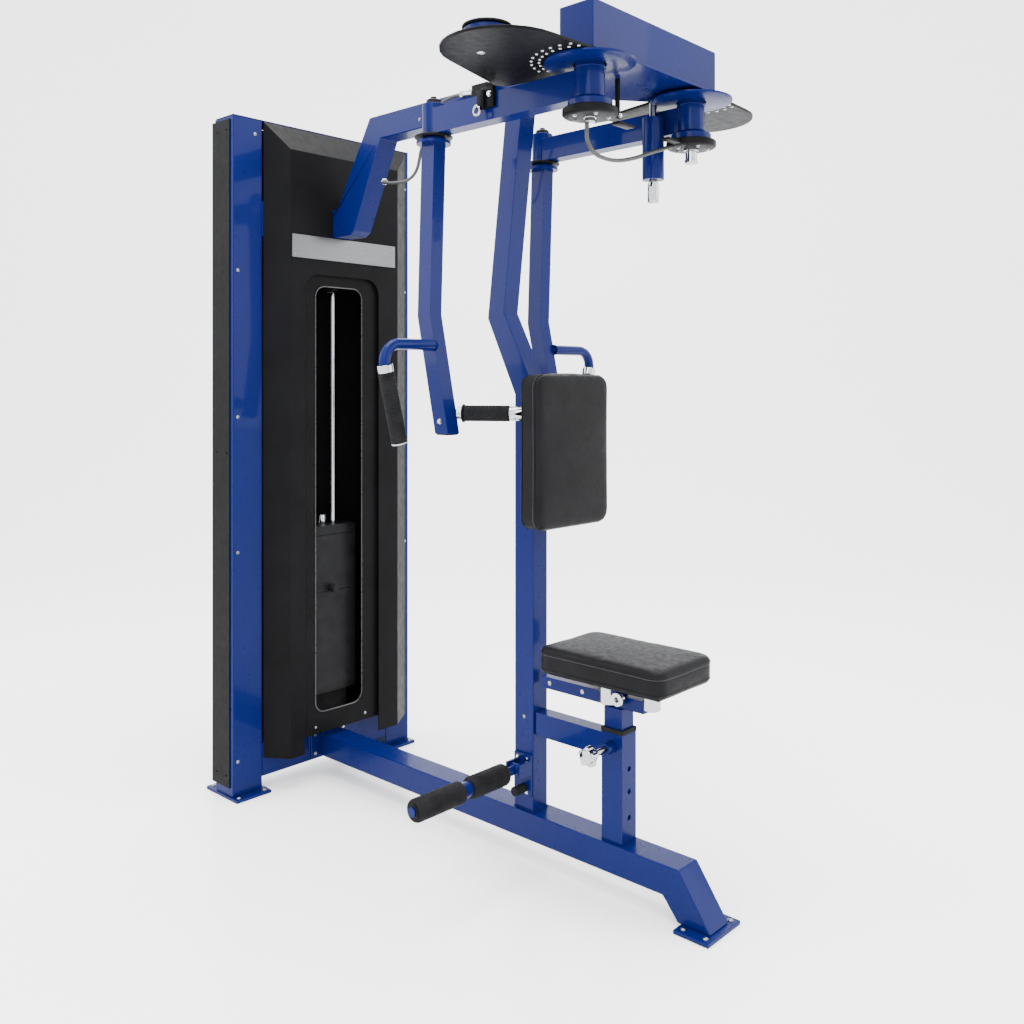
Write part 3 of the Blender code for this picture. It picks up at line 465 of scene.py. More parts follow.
def make_stage():
    scene = bpy.context.scene
    bm = bmesh.new()
    # a floor that curves up into a back wall
    half, depth, rise, bend = 9.0, 6.0, 6.0, 2.5
    profile = [(-6.0, 0.0), (depth - bend, 0.0)]
    profile += [(depth - bend + bend * sin(radians(a)), bend - bend * cos(radians(a)))
                for a in range(10, 91, 10)]
    profile += [(depth, rise)]
    turn = Matrix.Rotation(radians(HEADING), 3, "Z")
    verts = [bm.verts.new(turn @ Vector((-half, y, z)) + Vector((0, 0.6, 0))) for y, z in profile]
    edges = [bm.edges.new(pair) for pair in zip(verts, verts[1:])]
    grown = bmesh.ops.extrude_edge_only(bm, edges=edges)
    moved = [item for item in grown["geom"] if isinstance(item, bmesh.types.BMVert)]
    bmesh.ops.translate(bm, verts=moved, vec=turn @ Vector((2 * half, 0, 0)))
    bmesh.ops.translate(bm, verts=bm.verts, vec=(0, 0, -0.0005))
    mesh = bpy.data.meshes.new("studio_floor")
    bm.to_mesh(mesh)
    bm.free()
    mesh.shade_smooth()
    floor = bpy.data.objects.new("studio_floor", mesh)
    scene.collection.objects.link(floor)
    paint = bpy.data.materials.new("studio_white")
    paint.use_nodes = True
    shader = paint.node_tree.nodes["Principled BSDF"]
    shader.inputs["Base Color"].default_value = (0.93, 0.93, 0.935, 1)
    shader.inputs["Roughness"].default_value = 0.22
    shader.inputs["Specular IOR Level"].default_value = 0.35
    mesh.materials.append(paint)

    world = bpy.data.worlds.new("studio")
    world.use_nodes = True
    world.node_tree.nodes["Background"].inputs["Color"].default_value = (0.98, 0.99, 1.0, 1)
    world.node_tree.nodes["Background"].inputs["Strength"].default_value = 3.6
    scene.world = world

    for name, place, size, power in (("key", (-3.4, -1.0, 3.6), (2.2, 3.0), 90),
                                     ("fill", (2.6, -3.0, 2.2), (2.0, 3.0), 60),
                                     ("top", (0.0, 0.6, 4.6), (3.5, 3.5), 420),
                                     ("rim", (-2.6, 3.2, 2.6), (1.4, 3.0), 70)):
        light = bpy.data.lights.new(name, "AREA")
        light.shape = "RECTANGLE"
        light.size, light.size_y = size
        light.energy = power
        lamp = bpy.data.objects.new(name, light)
        lamp.location = place
        aim = Vector((0, 0.6, 0.9)) - Vector(place)
        lamp.rotation_euler = aim.to_track_quat("-Z", "Y").to_euler()
        scene.collection.objects.link(lamp)

    camera = bpy.data.cameras.new("camera")
    camera.lens = LENS
    camera.sensor_width = 36.0
    camera.shift_y = SHIFT
    camera.clip_start = 0.02
    eye = bpy.data.objects.new("camera", camera)
    eye.location = EYE
    eye.rotation_euler = (radians(90), 0, radians(HEADING))
    scene.collection.objects.link(eye)
    scene.camera = eye


# ---- frame finish ----
PAINT = {
    "blue_paint": "powder_blue", "black_paint": "satin_black", "chrome": "bright_chrome",
    "brushed_plate": "brushed_silver", "rubber": "moulded_rubber", "leatherette": "black_leather",
    "plate_steel": "dark_steel", "cable_jacket": "cable_black",
}
ROUND_NODES = ("left_guide_rod", "right_guide_rod", "selector_stem", "left_pivot_shaft", "right_pivot_shaft",
               "range_pin", "left_inner_handle", "right_inner_handle", "arm_cable", "left_outer_handle",
               "right_outer_handle", "lift_pulley", "seat_pin")
BLACK_CAMS = ("left_cam_plate", "right_cam_plate", "cable_bracket", "lift_pulley")
EDGE_GROUPS = {                  # edge radius of the nodes that differ from the setting
    0.0008: ("header_mount_plate", "left_cam_plate", "right_cam_plate", "rear_cover", "tower_cap",
             "post_collar", "cable_bracket"),
    0.0010: ("front_shroud", "window_panel", "left_side_cover", "foot_lever_bracket", "foot_lever_bar",
             "boom_crossmember"),
    0.0012: ("front_foot_plate", "left_foot_plate", "right_foot_plate", "chest_pad_bracket",
             "seat_post_sleeve"),
    0.0016: ("seat_rail", "seat_post"),
    0.0022: ("left_link", "right_link"),
}
PLAIN_EDGES = {node: width for width, nodes in EDGE_GROUPS.items() for node in nodes}


def finish_node(node, obj, slot, edge):
    obj.data.materials.clear()
    obj.data.materials.append(MATERIALS["cam_black" if node in BLACK_CAMS else PAINT[slot]])
    weld = obj.modifiers.new("weld", "WELD")
    weld.merge_threshold = 0.00002
    if node not in ROUND_NODES:
        bevel = obj.modifiers.new("edges", "BEVEL")
        bevel.width = PLAIN_EDGES.get(node, edge)
        bevel.segments = 3
        bevel.limit_method = "ANGLE"
        bevel.angle_limit = radians(28)
    obj.data.shade_smooth()
    smooth = obj.modifiers.new("normals", "WEIGHTED_NORMAL")
    smooth.keep_sharp = True
    smooth.weight = 80


# ---- pads ----
def padded_form(name, low, high, settings):
    """A boxed cushion: a rounded block that cloth pressure swells, by no more than the swell setting."""
    low, high = Vector(low) + CUSHION_INSET, Vector(high) - CUSHION_INSET
    size = high - low
    thin = min(range(3), key=lambda i: size[i])
    a, b = [i for i in range(3) if i != thin]
    middle = (low + high) / 2
    ring = []
    for u, v in rounded_outline(size[a] / 2, size[b] / 2, CUSHION_CORNER):
        place = Vector((0, 0, 0))
        place[a], place[b], place[thin] = middle[a] + u, middle[b] + v, low[thin]
        ring.append(place)
    way = Vector((0, 0, 0))
    way[thin] = size[thin]
    bm = bmesh.new()
    add_prism(bm, ring, way)
    rims = [edge for edge in bm.edges if abs(edge.verts[0].co[thin] - edge.verts[1].co[thin]) < 1e-6]
    bmesh.ops.bevel(bm, geom=rims, offset=0.007, offset_type="OFFSET", affect="EDGES", segments=3,
                    profile=0.5, material=-1)
    bmesh.ops.recalc_face_normals(bm, faces=bm.faces)
    mesh = bpy.data.meshes.new(name)
    bm.to_mesh(mesh)
    bm.free()
    obj = bpy.data.objects.new(name, mesh)
    scene = bpy.context.scene
    scene.collection.objects.link(obj)
    remesh = obj.modifiers.new("remesh", "REMESH")
    remesh.mode = "VOXEL"
    remesh.voxel_size = CUSHION_VOXEL
    bake_modifiers(obj)
    rest = [vert.co.copy() for vert in obj.data.vertices]
    cloth = obj.modifiers.new("cloth", "CLOTH")
    cloth.settings.use_pressure = True
    cloth.settings.uniform_pressure_force = settings.pad_pressure
    cloth.settings.effector_weights.gravity = 0.0
    cloth.settings.quality = 6
    cloth.settings.tension_stiffness = 40
    cloth.settings.compression_stiffness = 40
    cloth.settings.bending_stiffness = 12
    cloth.point_cache.frame_start = 1
    cloth.point_cache.frame_end = CLOTH_FRAMES
    for step in range(1, CLOTH_FRAMES + 1):
        scene.frame_set(step)
    bake_modifiers(obj)
    scene.frame_set(1)
    for vert, start in zip(obj.data.vertices, rest):
        shift = vert.co - start
        if shift.length > settings.swell:
            vert.co = start + shift.normalized() * settings.swell
    crown(obj, thin, middle, size, a, b)
    bm = bmesh.new()
    bm.from_mesh(obj.data)
    for _ in range(3):
        bmesh.ops.smooth_vert(bm, verts=bm.verts, factor=0.5, use_axis_x=True, use_axis_y=True,
                              use_axis_z=True)
    bm.to_mesh(obj.data)
    bm.free()
    sub = obj.modifiers.new("smooth", "SUBSURF")
    sub.levels = sub.render_levels = 1
    obj.data.materials.append(MATERIALS["black_leather"])
    obj.data.shade_smooth()
    return obj


def crown(obj, thin, middle, size, a, b):
    """Lets the faces stand a little prouder in the middle than at the seams."""
    for vert in obj.data.vertices:
        u = (vert.co[a] - middle[a]) / (size[a] / 2)
        v = (vert.co[b] - middle[b]) / (size[b] / 2)
        lift = max(0.0, 1 - u * u) * max(0.0, 1 - v * v)
        away = (vert.co[thin] - middle[thin]) / (size[thin] / 2)
        vert.co[thin] += CROWN * lift * away


def bake_modifiers(obj):
    """Keeps what the modifiers make and takes them off."""
    graph = bpy.context.evaluated_depsgraph_get()
    made = bpy.data.meshes.new_from_object(obj.evaluated_get(graph))
    old = obj.data
    obj.modifiers.clear()
    obj.data = made
    bpy.data.meshes.remove(old)


def seam_ring(obj, centre, spans, corner, axis, level, radius, name, body, proud):
    """Piping laid on a pad's cover, found by the nearest point of the cover."""
    graph = bpy.context.evaluated_depsgraph_get()
    tree = BVHTree.FromObject(obj, graph)
    a, b = [i for i in range(3) if i != axis]
    path = []
    for u, v in rounded_outline(spans[0], spans[1], corner, 10):
        probe = Vector((0, 0, 0))
        probe[a], probe[b], probe[axis] = centre[a] + u, centre[b] + v, level
        spot, normal, _, _ = tree.find_nearest(probe)
        path.append(spot + normal * proud)
    bm = bmesh.new()
    add_tube(bm, path, radius, 12, closed=True)
    return piece(name, bm, "black_leather", body, "leatherette")


def stitches(obj, centre, spans, corner, axis, level, name, body):
    """A row of stitches beside the piping."""
    graph = bpy.context.evaluated_depsgraph_get()
    tree = BVHTree.FromObject(obj, graph)
    a, b = [i for i in range(3) if i != axis]
    ring = [Vector((u, v, 0)) for u, v in rounded_outline(spans[0], spans[1], corner, 10)]
    ring.append(ring[0])
    bm = bmesh.new()
    run = 0.0
    for start, end in zip(ring, ring[1:]):
        long = (end - start).length
        while run < long:
            at = start.lerp(end, run / long)
            to = at + (end - start).normalized() * STITCH_LENGTH
            ends = []
            for place in (at, to):
                probe = Vector((0, 0, 0))
                probe[a], probe[b], probe[axis] = centre[a] + place.x, centre[b] + place.y, level
                spot, normal, _, _ = tree.find_nearest(probe)
                ends.append(spot + normal * 0.0002)
            add_stitch(bm, *ends)
            run += STITCH_PITCH
        run -= long
    return piece(name, bm, "thread_grey", body, "leatherette")


def add_stitch(bm, start, end):
    way = end - start
    if way.length < 1e-5:
        return
    made = bmesh.ops.create_cone(bm, cap_ends=True, segments=5, radius1=0.00045, radius2=0.00045,
                                 depth=way.length)
    bmesh.ops.transform(bm, matrix=turn_to((start + end) / 2, way), verts=made["verts"])


def make_chest_pad(settings):
    low, high, middle = box_of("chest_pad")
    pad = padded_form("chest_cushion", low, high, settings)
    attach(pad, "root")
    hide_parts("chest_pad")
    half = ((high.x - low.x) / 2 - 0.0005, (high.z - low.z) / 2 - 0.0005)
    for tag, level in (("front", low.y + 0.012), ("back", high.y - 0.008)):
        seam_ring(pad, middle, half, 0.026, 1, level, 0.0016, "chest_piping_" + tag, "root", 0.0002)
    stitches(pad, middle, half, 0.026, 1, low.y + 0.0165, "chest_stitches", "root")
    bm = bmesh.new()
    add_block(bm, (low.x + 0.012, high.y - 0.010, low.z + 0.012),
              (high.x - 0.012, high.y - 0.0004, high.z - 0.012), 0.002)
    piece("chest_backboard", bm, "moulded_plastic", "root", "leatherette")


def make_seat_pad(settings):
    low, high, middle = box_of("seat_pad")
    pad = padded_form("seat_cushion", low + Vector((0, 0, 0.002)), high, settings)
    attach(pad, "seat")
    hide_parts("seat_pad")
    half = ((high.x - low.x) / 2 - 0.0005, (high.y - low.y) / 2 - 0.0005)
    seam_ring(pad, middle, half, 0.030, 2, high.z - 0.011, 0.0016, "seat_piping", "seat", 0.0002)
    seam_ring(pad, middle, half, 0.030, 2, low.z + 0.012, 0.0014, "seat_lower_piping", "seat", 0.0001)
    stitches(pad, middle, half, 0.030, 2, high.z - 0.0155, "seat_stitches", "seat")
    bm = bmesh.new()
    add_block(bm, (low.x + 0.014, low.y + 0.014, low.z), (high.x - 0.014, high.y - 0.014, low.z + 0.010),
              0.003)
    piece("seat_baseboard", bm, "moulded_plastic", "seat", "leatherette")


# ---- hardware ----
def seat_on(node, start, direction):
    """Where a line from start first meets a frame node, or None."""
    mesh = frame["nodes"][node].data
    tree = BVHTree.FromPolygons([v.co for v in mesh.vertices], [p.vertices[:] for p in mesh.polygons])
    spot, _, _, _ = tree.ray_cast(Vector(start), Vector(direction).normalized())
    return spot


def bolt_group(name, body, seats, size, hexagon=False, material="zinc_steel", slot="chrome"):
    """Bolts on frame nodes. A seat is (node, start, direction); the head faces back along it."""
    bm = bmesh.new()
    for node, start, direction in seats:
        spot = seat_on(node, start, direction)
        if spot is not None:
            add_bolt(bm, spot, -Vector(direction), size, hexagon)
    if not bm.verts:
        raise RuntimeError(name + ": no bolt meets its frame node")
    return piece(name, bm, material, body, slot)


def make_base_hardware():
    down = (0, 0, -1)
    seats = [("front_foot_plate", (x, y, 0.1), down) for x in (-0.047, 0.047) for y in (-0.026, 0.026)]
    bolt_group("front_foot_bolts", "root", seats, 0.0060)
    for side, name in ((-1, "left"), (1, "right")):
        seats = [(name + "_foot_plate", (side * x, y, 0.106), down) for x in (0.220, 0.297)
                 for y in (1.2430, 1.3680)]
        bolt_group(name + "_foot_bolts", "root", seats, 0.0062)
    seats = [("floor_crossmember", (x, 1.1, z), (0, 1, 0)) for x in (-0.0485, 0.0485) for z in (0.060, 0.112)]
    bolt_group("beam_flange_bolts", "root", seats, 0.0052, True)
    seats = [("column", (-0.2, 0.475, 0.330), (1, 0, 0)), ("boom", (-0.2, 0.830, 1.780), (1, 0, 0))]
    bolt_group("column_screws", "root", seats, 0.0040)
    bm = bmesh.new()
    top = box_of("base_beam")[1].z
    half, front, back = COLUMN_FOOT
    corners = [(-half, front), (half, front), (half, back), (-half, back), (-half, front)]
    for (ax, ay), (bx, by) in zip(corners, corners[1:]):
        add_weld_bead(bm, (ax, ay, top + 0.0012), (bx, by, top + 0.0012))
    piece("column_weld", bm, "powder_blue", "root", "blue_paint")


def add_bead(bm, centre, radius):
    made = bmesh.ops.create_icosphere(bm, subdivisions=1, radius=radius)
    bmesh.ops.transform(bm, matrix=Matrix.Translation(centre), verts=made["verts"])


def add_weld_bead(bm, start, end, radius=0.0024, pitch=0.0040):
    """A row of overlapping ripples along a joint."""
    start, end = Vector(start), Vector(end)
    count = max(2, int((end - start).length / pitch))
    for i in range(count + 1):
        add_bead(bm, start.lerp(end, i / count), radius)


def ring_weld(name, body, centre, direction, radius, bead=0.0018):
    """A ring of weld ripples round a joint."""
    turn = turn_to(centre, direction)
    bm = bmesh.new()
    count = int(2 * pi * radius / (bead * 1.5))
    for i in range(count):
        a = 2 * pi * i / count
        add_bead(bm, turn @ Vector((radius * cos(a), radius * sin(a), 0)), bead)
    return piece(name, bm, "powder_blue", body, "blue_paint")


def add_fillet(bm, corner, way_x, way_z, radius, thick):
    """A solid fillet that rounds a square inner corner of a sheet."""
    x, y, z = corner
    outline = [(x, z)]
    for i in range(9):
        a = radians(90 * i / 8)
        outline.append((x + way_x * radius * (1 - sin(a)), z + way_z * radius * (1 - cos(a))))
    add_prism(bm, [(px, y, pz) for px, pz in outline], (0, thick, 0))


def make_tower_trim():
    in_y = (0, 1, 0)
    seats = [("left_upright", (-0.2930, 1.1, z), in_y) for z in (1.405, 1.015, 0.655, 0.100)]
    seats.append(("left_upright", (-0.2400, 1.1, 1.776), in_y))
    bolt_group("left_upright_screws", "root", seats, 0.0044)
    out_x, out_y = BEVEL_WAY
    seats = [("front_shroud", (0.2860 + 0.1 * out_x, 1.2477 + 0.1 * out_y, z), (-out_x, -out_y, 0))
             for z in (1.700, 1.384, 0.621)]
    bolt_group("shroud_screws", "root", seats, 0.0040)
    seats = [("window_panel", (x, 1.1, 0.150), in_y) for x in (-0.080, 0.094)]
    bolt_group("panel_screws", "root", seats, 0.0040)
    seats = [("left_side_cover", (-0.5, y, z), (1, 0, 0)) for y in (1.285, 1.330)
             for z in (0.060, 0.920, 1.780)]
    bolt_group("side_cover_screws", "root", seats, 0.0032, material="cam_black", slot="black_paint")
    low, high, _ = box_of("window_panel")
    half_x, half_z = WINDOW_HALF
    clear = 0.0012
    # The window's rim is a thin tube along the opening's edge. Its lighter colour is a painted highlight of
    # that edge.
    bm = bmesh.new()
    outline = rounded_outline(half_x + clear, half_z + clear, WINDOW_CORNER + clear)
    path = [(x, low.y - 0.0004, WINDOW_Z + z) for x, z in outline]
    add_tube(bm, path, 0.0016, 8, closed=True)
    piece("window_rim_highlight", bm, "painted_edge_highlight", "root", "black_paint")
    bm = bmesh.new()
    for side_x in (-1, 1):
        for side_z in (-1, 1):
            corner = (side_x * half_x, low.y, WINDOW_Z + side_z * half_z)
            add_fillet(bm, corner, -side_x, -side_z, WINDOW_CORNER, high.y - low.y)
    piece("window_corners", bm, "satin_black", "root", "black_paint")
    low, high, _ = box_of("front_plaque")
    bm = bmesh.new()
    for x in (low.x + 0.008, high.x - 0.008):
        for z in (low.z + 0.008, high.z - 0.008):
            add_turned(bm, [(0, 0), (0.0028, 0), (0.0026, 0.0008), (0.0014, 0.0013), (0, 0.0014)],
                       (x, low.y, z), (0, -1, 0), 12)
    piece("plaque_rivets", bm, "zinc_steel", "root", "brushed_plate")


def make_overhead_hardware():
    for side, name in ((-1, "left"), (1, "right")):
        low, high, middle = box_of(name + "_pivot_shaft")
        x, y = middle.x, middle.y
        core = (high.x - low.x) / 2
        disc, rim = PIVOT_DISC_Z
        bm = bmesh.new()
        profile = [(0, rim - disc), (core - 0.002, rim - disc), (core, rim - disc - 0.002), (core, 0.005),
                   (core - 0.003, 0.002), (core - 0.011, 0), (0, 0)]
        add_turned(bm, profile, (x, y, disc), UP, 48)
        tab = (0.084, 0.140) if side < 0 else (-0.104, -0.040)
        add_block(bm, (x + tab[0], y - 0.010, disc + 0.003), (x + tab[1], y + 0.012, disc + 0.009), 0.002)
        piece(name + "_pivot_disc", bm, "cam_black", "root", "black_paint", [name + "_pivot_shaft"])
        bm = bmesh.new()
        nose = disc - low.z
        if nose > 0.02:
            profile = [(0, -0.001), (0.017, -0.001), (0.017, 0.004), (0.0135, 0.006),
                       (0.0135, nose - 0.009), (0.015, nose - 0.008), (0.015, nose - 0.002),
                       (0.0135, nose), (0, nose)]
            add_turned(bm, profile, (x, y, disc), (0, 0, -1), 32)
        else:
            add_bolt(bm, (x, y, disc), (0, 0, -1), 0.0125, True)
        for i in range(5):
            a = radians(20 + 72 * i)
            add_bolt(bm, (x + 0.037 * cos(a), y + 0.037 * sin(a), disc), (0, 0, -1), 0.0042)
        piece(name + "_pivot_bolts", bm, "bright_chrome", "root", "chrome")

        cam, link = name + "_drive", name + "_overhead_link"
        cam_low, cam_high, _ = box_of(name + "_cam_plate")
        profile = [(0.034, 0), (START_PLATE_RADIUS - 0.002, 0), (START_PLATE_RADIUS, 0.001),
                   (START_PLATE_RADIUS, 0.0045), (0.034, 0.0045)]
        turned_piece(name + "_start_plate", profile, (x, y, cam_low.z - 0.0060), UP, 64, "powder_blue", link,
                     "blue_paint")
        seats = []
        for radius, shift in CAM_ARCS:
            for i in range(CAM_ARC_BOLTS):
                a = radians(90 - side * (6 + 11 * i + shift))
                spot = (x + radius * cos(a), y + radius * sin(a), UNDER_CAMS)
                seats.append((name + "_cam_plate", spot, UP))
        bolt_group(name + "_cam_bolts", cam, seats, 0.0040, material="bright_chrome")
        lobe = (side * CAM_ROLLER[0], CAM_ROLLER[1])
        bm = bmesh.new()
        add_rod(bm, (*lobe, cam_high.z), (*lobe, cam_high.z + 0.028), ROLLER_RADIUS, 48, 0.002)
        piece(name + "_cam_roller", bm, "powder_blue", cam, "blue_paint")
        bm = bmesh.new()
        cap = cam_high.z + 0.0282
        add_rod(bm, (*lobe, cap), (*lobe, cam_high.z + 0.0340), ROLLER_RADIUS + 0.003, 48, 0.0015)
        piece(name + "_roller_cap", bm, "cam_black", cam, "black_paint")
        seats = [(name + "_cam_plate", (side * CAM_CENTRE[0], CAM_CENTRE[1], UNDER_CAMS), UP)]
        bolt_group(name + "_cam_centre_bolt", cam, seats, 0.0075, material="bright_chrome")
        hub = [(0.0302, 0), (0.0322, 0.0006), (0.0330, 0.0020), (0.0322, 0.0034), (0.0302, 0.0040)]
        bm = bmesh.new()
        for z in HUB_SEAM_Z:
            add_turned(bm, hub, (x, y, z), UP, 48)
        piece(name + "_hub_seams", bm, "powder_blue", link, "blue_paint")
        sx, sy = side * SWIVEL[0], SWIVEL[1]
        profile = [(0.027, 0), (0.043, 0), (0.044, 0.001), (0.044, 0.004), (0.043, 0.005), (0.027, 0.005)]
        turned_piece(name + "_swivel_disc", profile, (sx, sy, SWIVEL_DISC_Z), UP, 48, "cam_black", link,
                     "black_paint")
        bm = bmesh.new()
        cap_low, cap_high = SWIVEL_CAP_Z
        add_rod(bm, (sx, sy, cap_low), (sx, sy, cap_high), 0.017, 32, 0.002)
        add_bolt(bm, (sx, sy, cap_high), UP, 0.0085, True)
        piece(name + "_swivel_cap", bm, "dark_steel", name + "_swing_arm", "chrome")
    make_hanger()
    bm = bmesh.new()
    add_rod(bm, (-0.038, 0.196, 1.672), (-0.038, 0.196, 1.7510), 0.0055, 20)
    add_rod(bm, (-0.046, 0.196, 1.672), (-0.030, 0.196, 1.672), 0.0062, 20)
    piece("cable_drop_rod", bm, "cam_black", "root", "black_paint")
    bm = bmesh.new()
    add_bolt(bm, (-0.038, 0.1895, 1.672), (0, -1, 0), 0.0048)
    piece("drop_rod_bolt", bm, "bright_chrome", "root", "chrome")
    path = smooth_path([(-0.150, 0.190, 1.636), (-0.138, 0.198, 1.604), (-0.105, 0.206, 1.584),
                        (-0.060, 0.208, 1.579), (-0.015, 0.208, 1.583), (0.035, 0.204, 1.596),
                        (0.085, 0.194, 1.615), (0.140, 0.176, 1.636)], 10)
    bm = bmesh.new()
    add_tube(bm, path, SHEATH_RADIUS, 16)
    piece("sheathed_cable", bm, "cable_black", "root", "cable_jacket")
    bm = bmesh.new()
    start, way = Vector((-0.0305, 0.968, 1.640)), Vector((-0.0250, -0.033, -0.012)).normalized()
    add_rod(bm, start, start + way * 0.026, 0.0072, 24, 0.001)
    add_rod(bm, start + way * 0.006, start + way * 0.014, 0.0092, 6, 0.0006)
    end, back = Vector((-0.046, 0.622, 1.8025)), Vector((0, 0.99, 0.13)).normalized()
    add_rod(bm, end, end + back * 0.040, 0.0066, 24, 0.001)
    add_rod(bm, end + back * 0.030, end + back * 0.040, 0.0086, 6, 0.0006)
    piece("cable_fittings", bm, "bright_chrome", "root", "chrome")


def make_hanger():
    """The black cable hanger beside the left link, with its bolt and its curled steel end."""
    face = box_of("left_link")[2].x - 0.0225
    bm = bmesh.new()
    add_block(bm, (face - 0.010, 0.392, 1.694), (face - 0.0005, 0.430, 1.7400), 0.003)
    add_block(bm, (face - 0.018, 0.414, 1.690), (face - 0.010, 0.434, 1.7340), 0.003)
    piece("cable_hanger", bm, "cam_black", "left_overhead_link", "black_paint")
    bm = bmesh.new()
    add_bolt(bm, (face - 0.010, 0.402, 1.722), (-1, 0, 0), 0.0058)
    curl = [(face - 0.022, 0.428 + 0.0075 * cos(radians(a)) * (1 + a / 1400),
             1.688 + 0.0085 * sin(radians(a)) * (1 + a / 1400)) for a in range(60, 480, 15)]
    add_tube(bm, curl, 0.0026, 12)
    piece("hanger_bolt_and_curl", bm, "bright_chrome", "left_overhead_link", "chrome")


def make_arm_hardware():
    for side, name in ((-1, "left"), (1, "right")):
        body = name + "_swing_arm"
        low = box_of(name + "_arm")[0]
        x = side * SWIVEL[0]
        end_y, end_z = ARM_END_Y, low.z
        bm = bmesh.new()
        add_block(bm, (x - 0.0165, end_y - 0.0200, end_z - 0.0030),
                  (x + 0.0165, end_y + 0.0200, end_z + 0.006), 0.0025)
        piece(name + "_arm_plug", bm, "moulded_rubber", body, "rubber")
        seats = [(name + "_arm", (x + side * 0.1, end_y + 0.005, 1.018), (-side, 0, 0))]
        bolt_group(name + "_arm_bolts", body, seats, 0.0060, True, "bright_chrome")
        low, high, _ = box_of(name + "_outer_handle")
        join = (x + side * 0.0186, (low.y + high.y) / 2, high.z - 0.0125)
        ring_weld(name + "_handle_weld", body, join, (side, 0, 0), 0.0126)
        grip_low, grip_high, _ = box_of(name + "_outer_grip")
        down = Vector((-side * sin(GRIP_LEAN), 0, -cos(GRIP_LEAN)))
        y = (grip_low.y + grip_high.y) / 2
        top_x = grip_low.x + GRIP_RADIUS if side < 0 else grip_high.x - GRIP_RADIUS
        top = Vector((top_x, y, grip_high.z - GRIP_RADIUS * sin(GRIP_LEAN)))
        length = (grip_high.z - grip_low.z - 2 * GRIP_RADIUS * sin(GRIP_LEAN)) / cos(GRIP_LEAN)
        finish_grip(name + "_outer", body, top, down, length, name + "_outer_grip", OUTER_BORE, COLLAR_LENGTH)
        bar_low, bar_high, _ = box_of(name + "_inner_handle")
        heading = Vector((-side * 0.50, -0.866, 0)).normalized()
        z = (bar_low.z + bar_high.z) / 2
        start = Vector((x - side * 0.0225, ARM_END_Y + (INNER_Z - ARM_END_Z) * ARM_SLOPE - 0.014, z))
        finish_grip(name + "_inner", body, start + heading * 0.022, heading, INNER_GRIP_LENGTH,
                    name + "_inner_grip", INNER_BORE)
        profile = [(0.0102, 0), (0.0200, 0), (0.0210, 0.001), (0.0210, 0.003), (0.0200, 0.004),
                   (0.0102, 0.004)]
        turned_piece(name + "_inner_flange", profile, start + heading * 0.0172, heading, 32, "cam_black",
                     body, "black_paint")
        profile = [(0.0104, 0), (0.0148, 0), (0.0148, 0.0110), (0.0104, 0.0110)]
        turned_piece(name + "_inner_sleeve", profile, start + heading * 0.0058, heading, 32,
                     "bright_chrome", body, "chrome")


def finish_grip(name, body, start, way, length, node, bore, collar=None):
    """A ribbed rubber grip in place of the plain one. A collar's length adds that collar and an end ring."""
    radius = GRIP_RADIUS
    profile = [(bore + 0.0006, 0), (radius - 0.002, 0), (radius - 0.0004, 0.001), (radius, 0.0026)]
    groove = 0.0
    while groove < length - 0.016:
        groove += RIB_PITCH
        profile += [(radius, groove - 0.0012), (radius - 0.0004, groove - 0.0006), (radius, groove)]
    profile += [(radius, length - 0.0026), (radius - 0.0006, length - 0.001), (radius - 0.002, length)]
    if collar:
        profile += [(0, length)]
        profile[0] = (0, 0)
    else:
        profile += [(bore + 0.0006, length)]
    turned_piece(name + "_hand_grip", profile, start, way, 40, "moulded_rubber", body, "rubber", [node],
                 sharp=50)
    if collar:
        bm = bmesh.new()
        ring = [(bore + 0.0004, 0), (bore + 0.004, 0), (bore + 0.0048, 0.0012),
                (bore + 0.0048, collar - 0.0012), (bore + 0.004, collar), (bore + 0.0004, collar)]
        add_turned(bm, ring, start - way * (collar + 0.0003), way, 32)
        end = [(0, 0), (0.0150, 0), (0.0185, 0.0006), (0.0190, 0.0020), (0.0185, 0.0036),
               (0.0100, 0.0042), (0, 0.0042)]
        add_turned(bm, end, start + way * (length - 0.0060), way, 32)
        piece(name + "_collar", bm, "bright_chrome", body, "chrome")


def make_seat_hardware():
    low, _, middle = box_of("seat_pin")
    y, z = middle.y, middle.z
    bm = bmesh.new()
    knob = [(0, -0.001), (0.0085, -0.001), (0.0095, 0.004), (0.0150, 0.008), (0.0175, 0.012),
            (0.0175, 0.026), (0.0150, 0.030), (0, 0.031)]
    end = Vector((low.x + 0.029, y, z))
    add_turned(bm, knob, end, (-1, 0, 0), 40)
    for i in range(5):
        a = radians(90 + 72 * i)
        place = end + Vector((-0.010, 0.0150 * cos(a), 0.0150 * sin(a)))
        add_rod(bm, place, place + Vector((-0.018, 0, 0)), 0.0068, 16, 0.0015)
    piece("seat_pin_knob", bm, "bright_chrome", "seat_release", "chrome")
    rail_low = box_of("seat_rail")[0]
    pad_low = box_of("seat_pad")[0]
    bm = bmesh.new()
    top = pad_low.z - 0.0064
    add_rod(bm, (0, 0.2440, rail_low.z + 0.001), (0, 0.2440, top), 0.0245, 40, 0.002)
    add_rod(bm, (0, 0.1340, rail_low.z + 0.008), (0, 0.1340, top), 0.0192, 40, 0.002)
    add_turned(bm, [(0.0060, 0), (0.0140, 0), (0.0155, 0.002), (0.0155, 0.010), (0.0140, 0.012),
                    (0.0060, 0.012)],
               (-0.0245, 0.2000, rail_low.z + 0.024), (-1, 0, 0), 32)
    add_bolt(bm, (-0.0245, 0.2000, rail_low.z + 0.024), (-1, 0, 0), 0.0058, True)
    piece("seat_clamp_cylinders", bm, "bright_chrome", "seat", "chrome")
    seats = [("seat_rail", (-0.3, y, rail_low.z + 0.014), (1, 0, 0)) for y in (0.310, 0.405)]
    bolt_group("seat_rail_bolts", "seat", seats, 0.0046, material="bright_chrome")


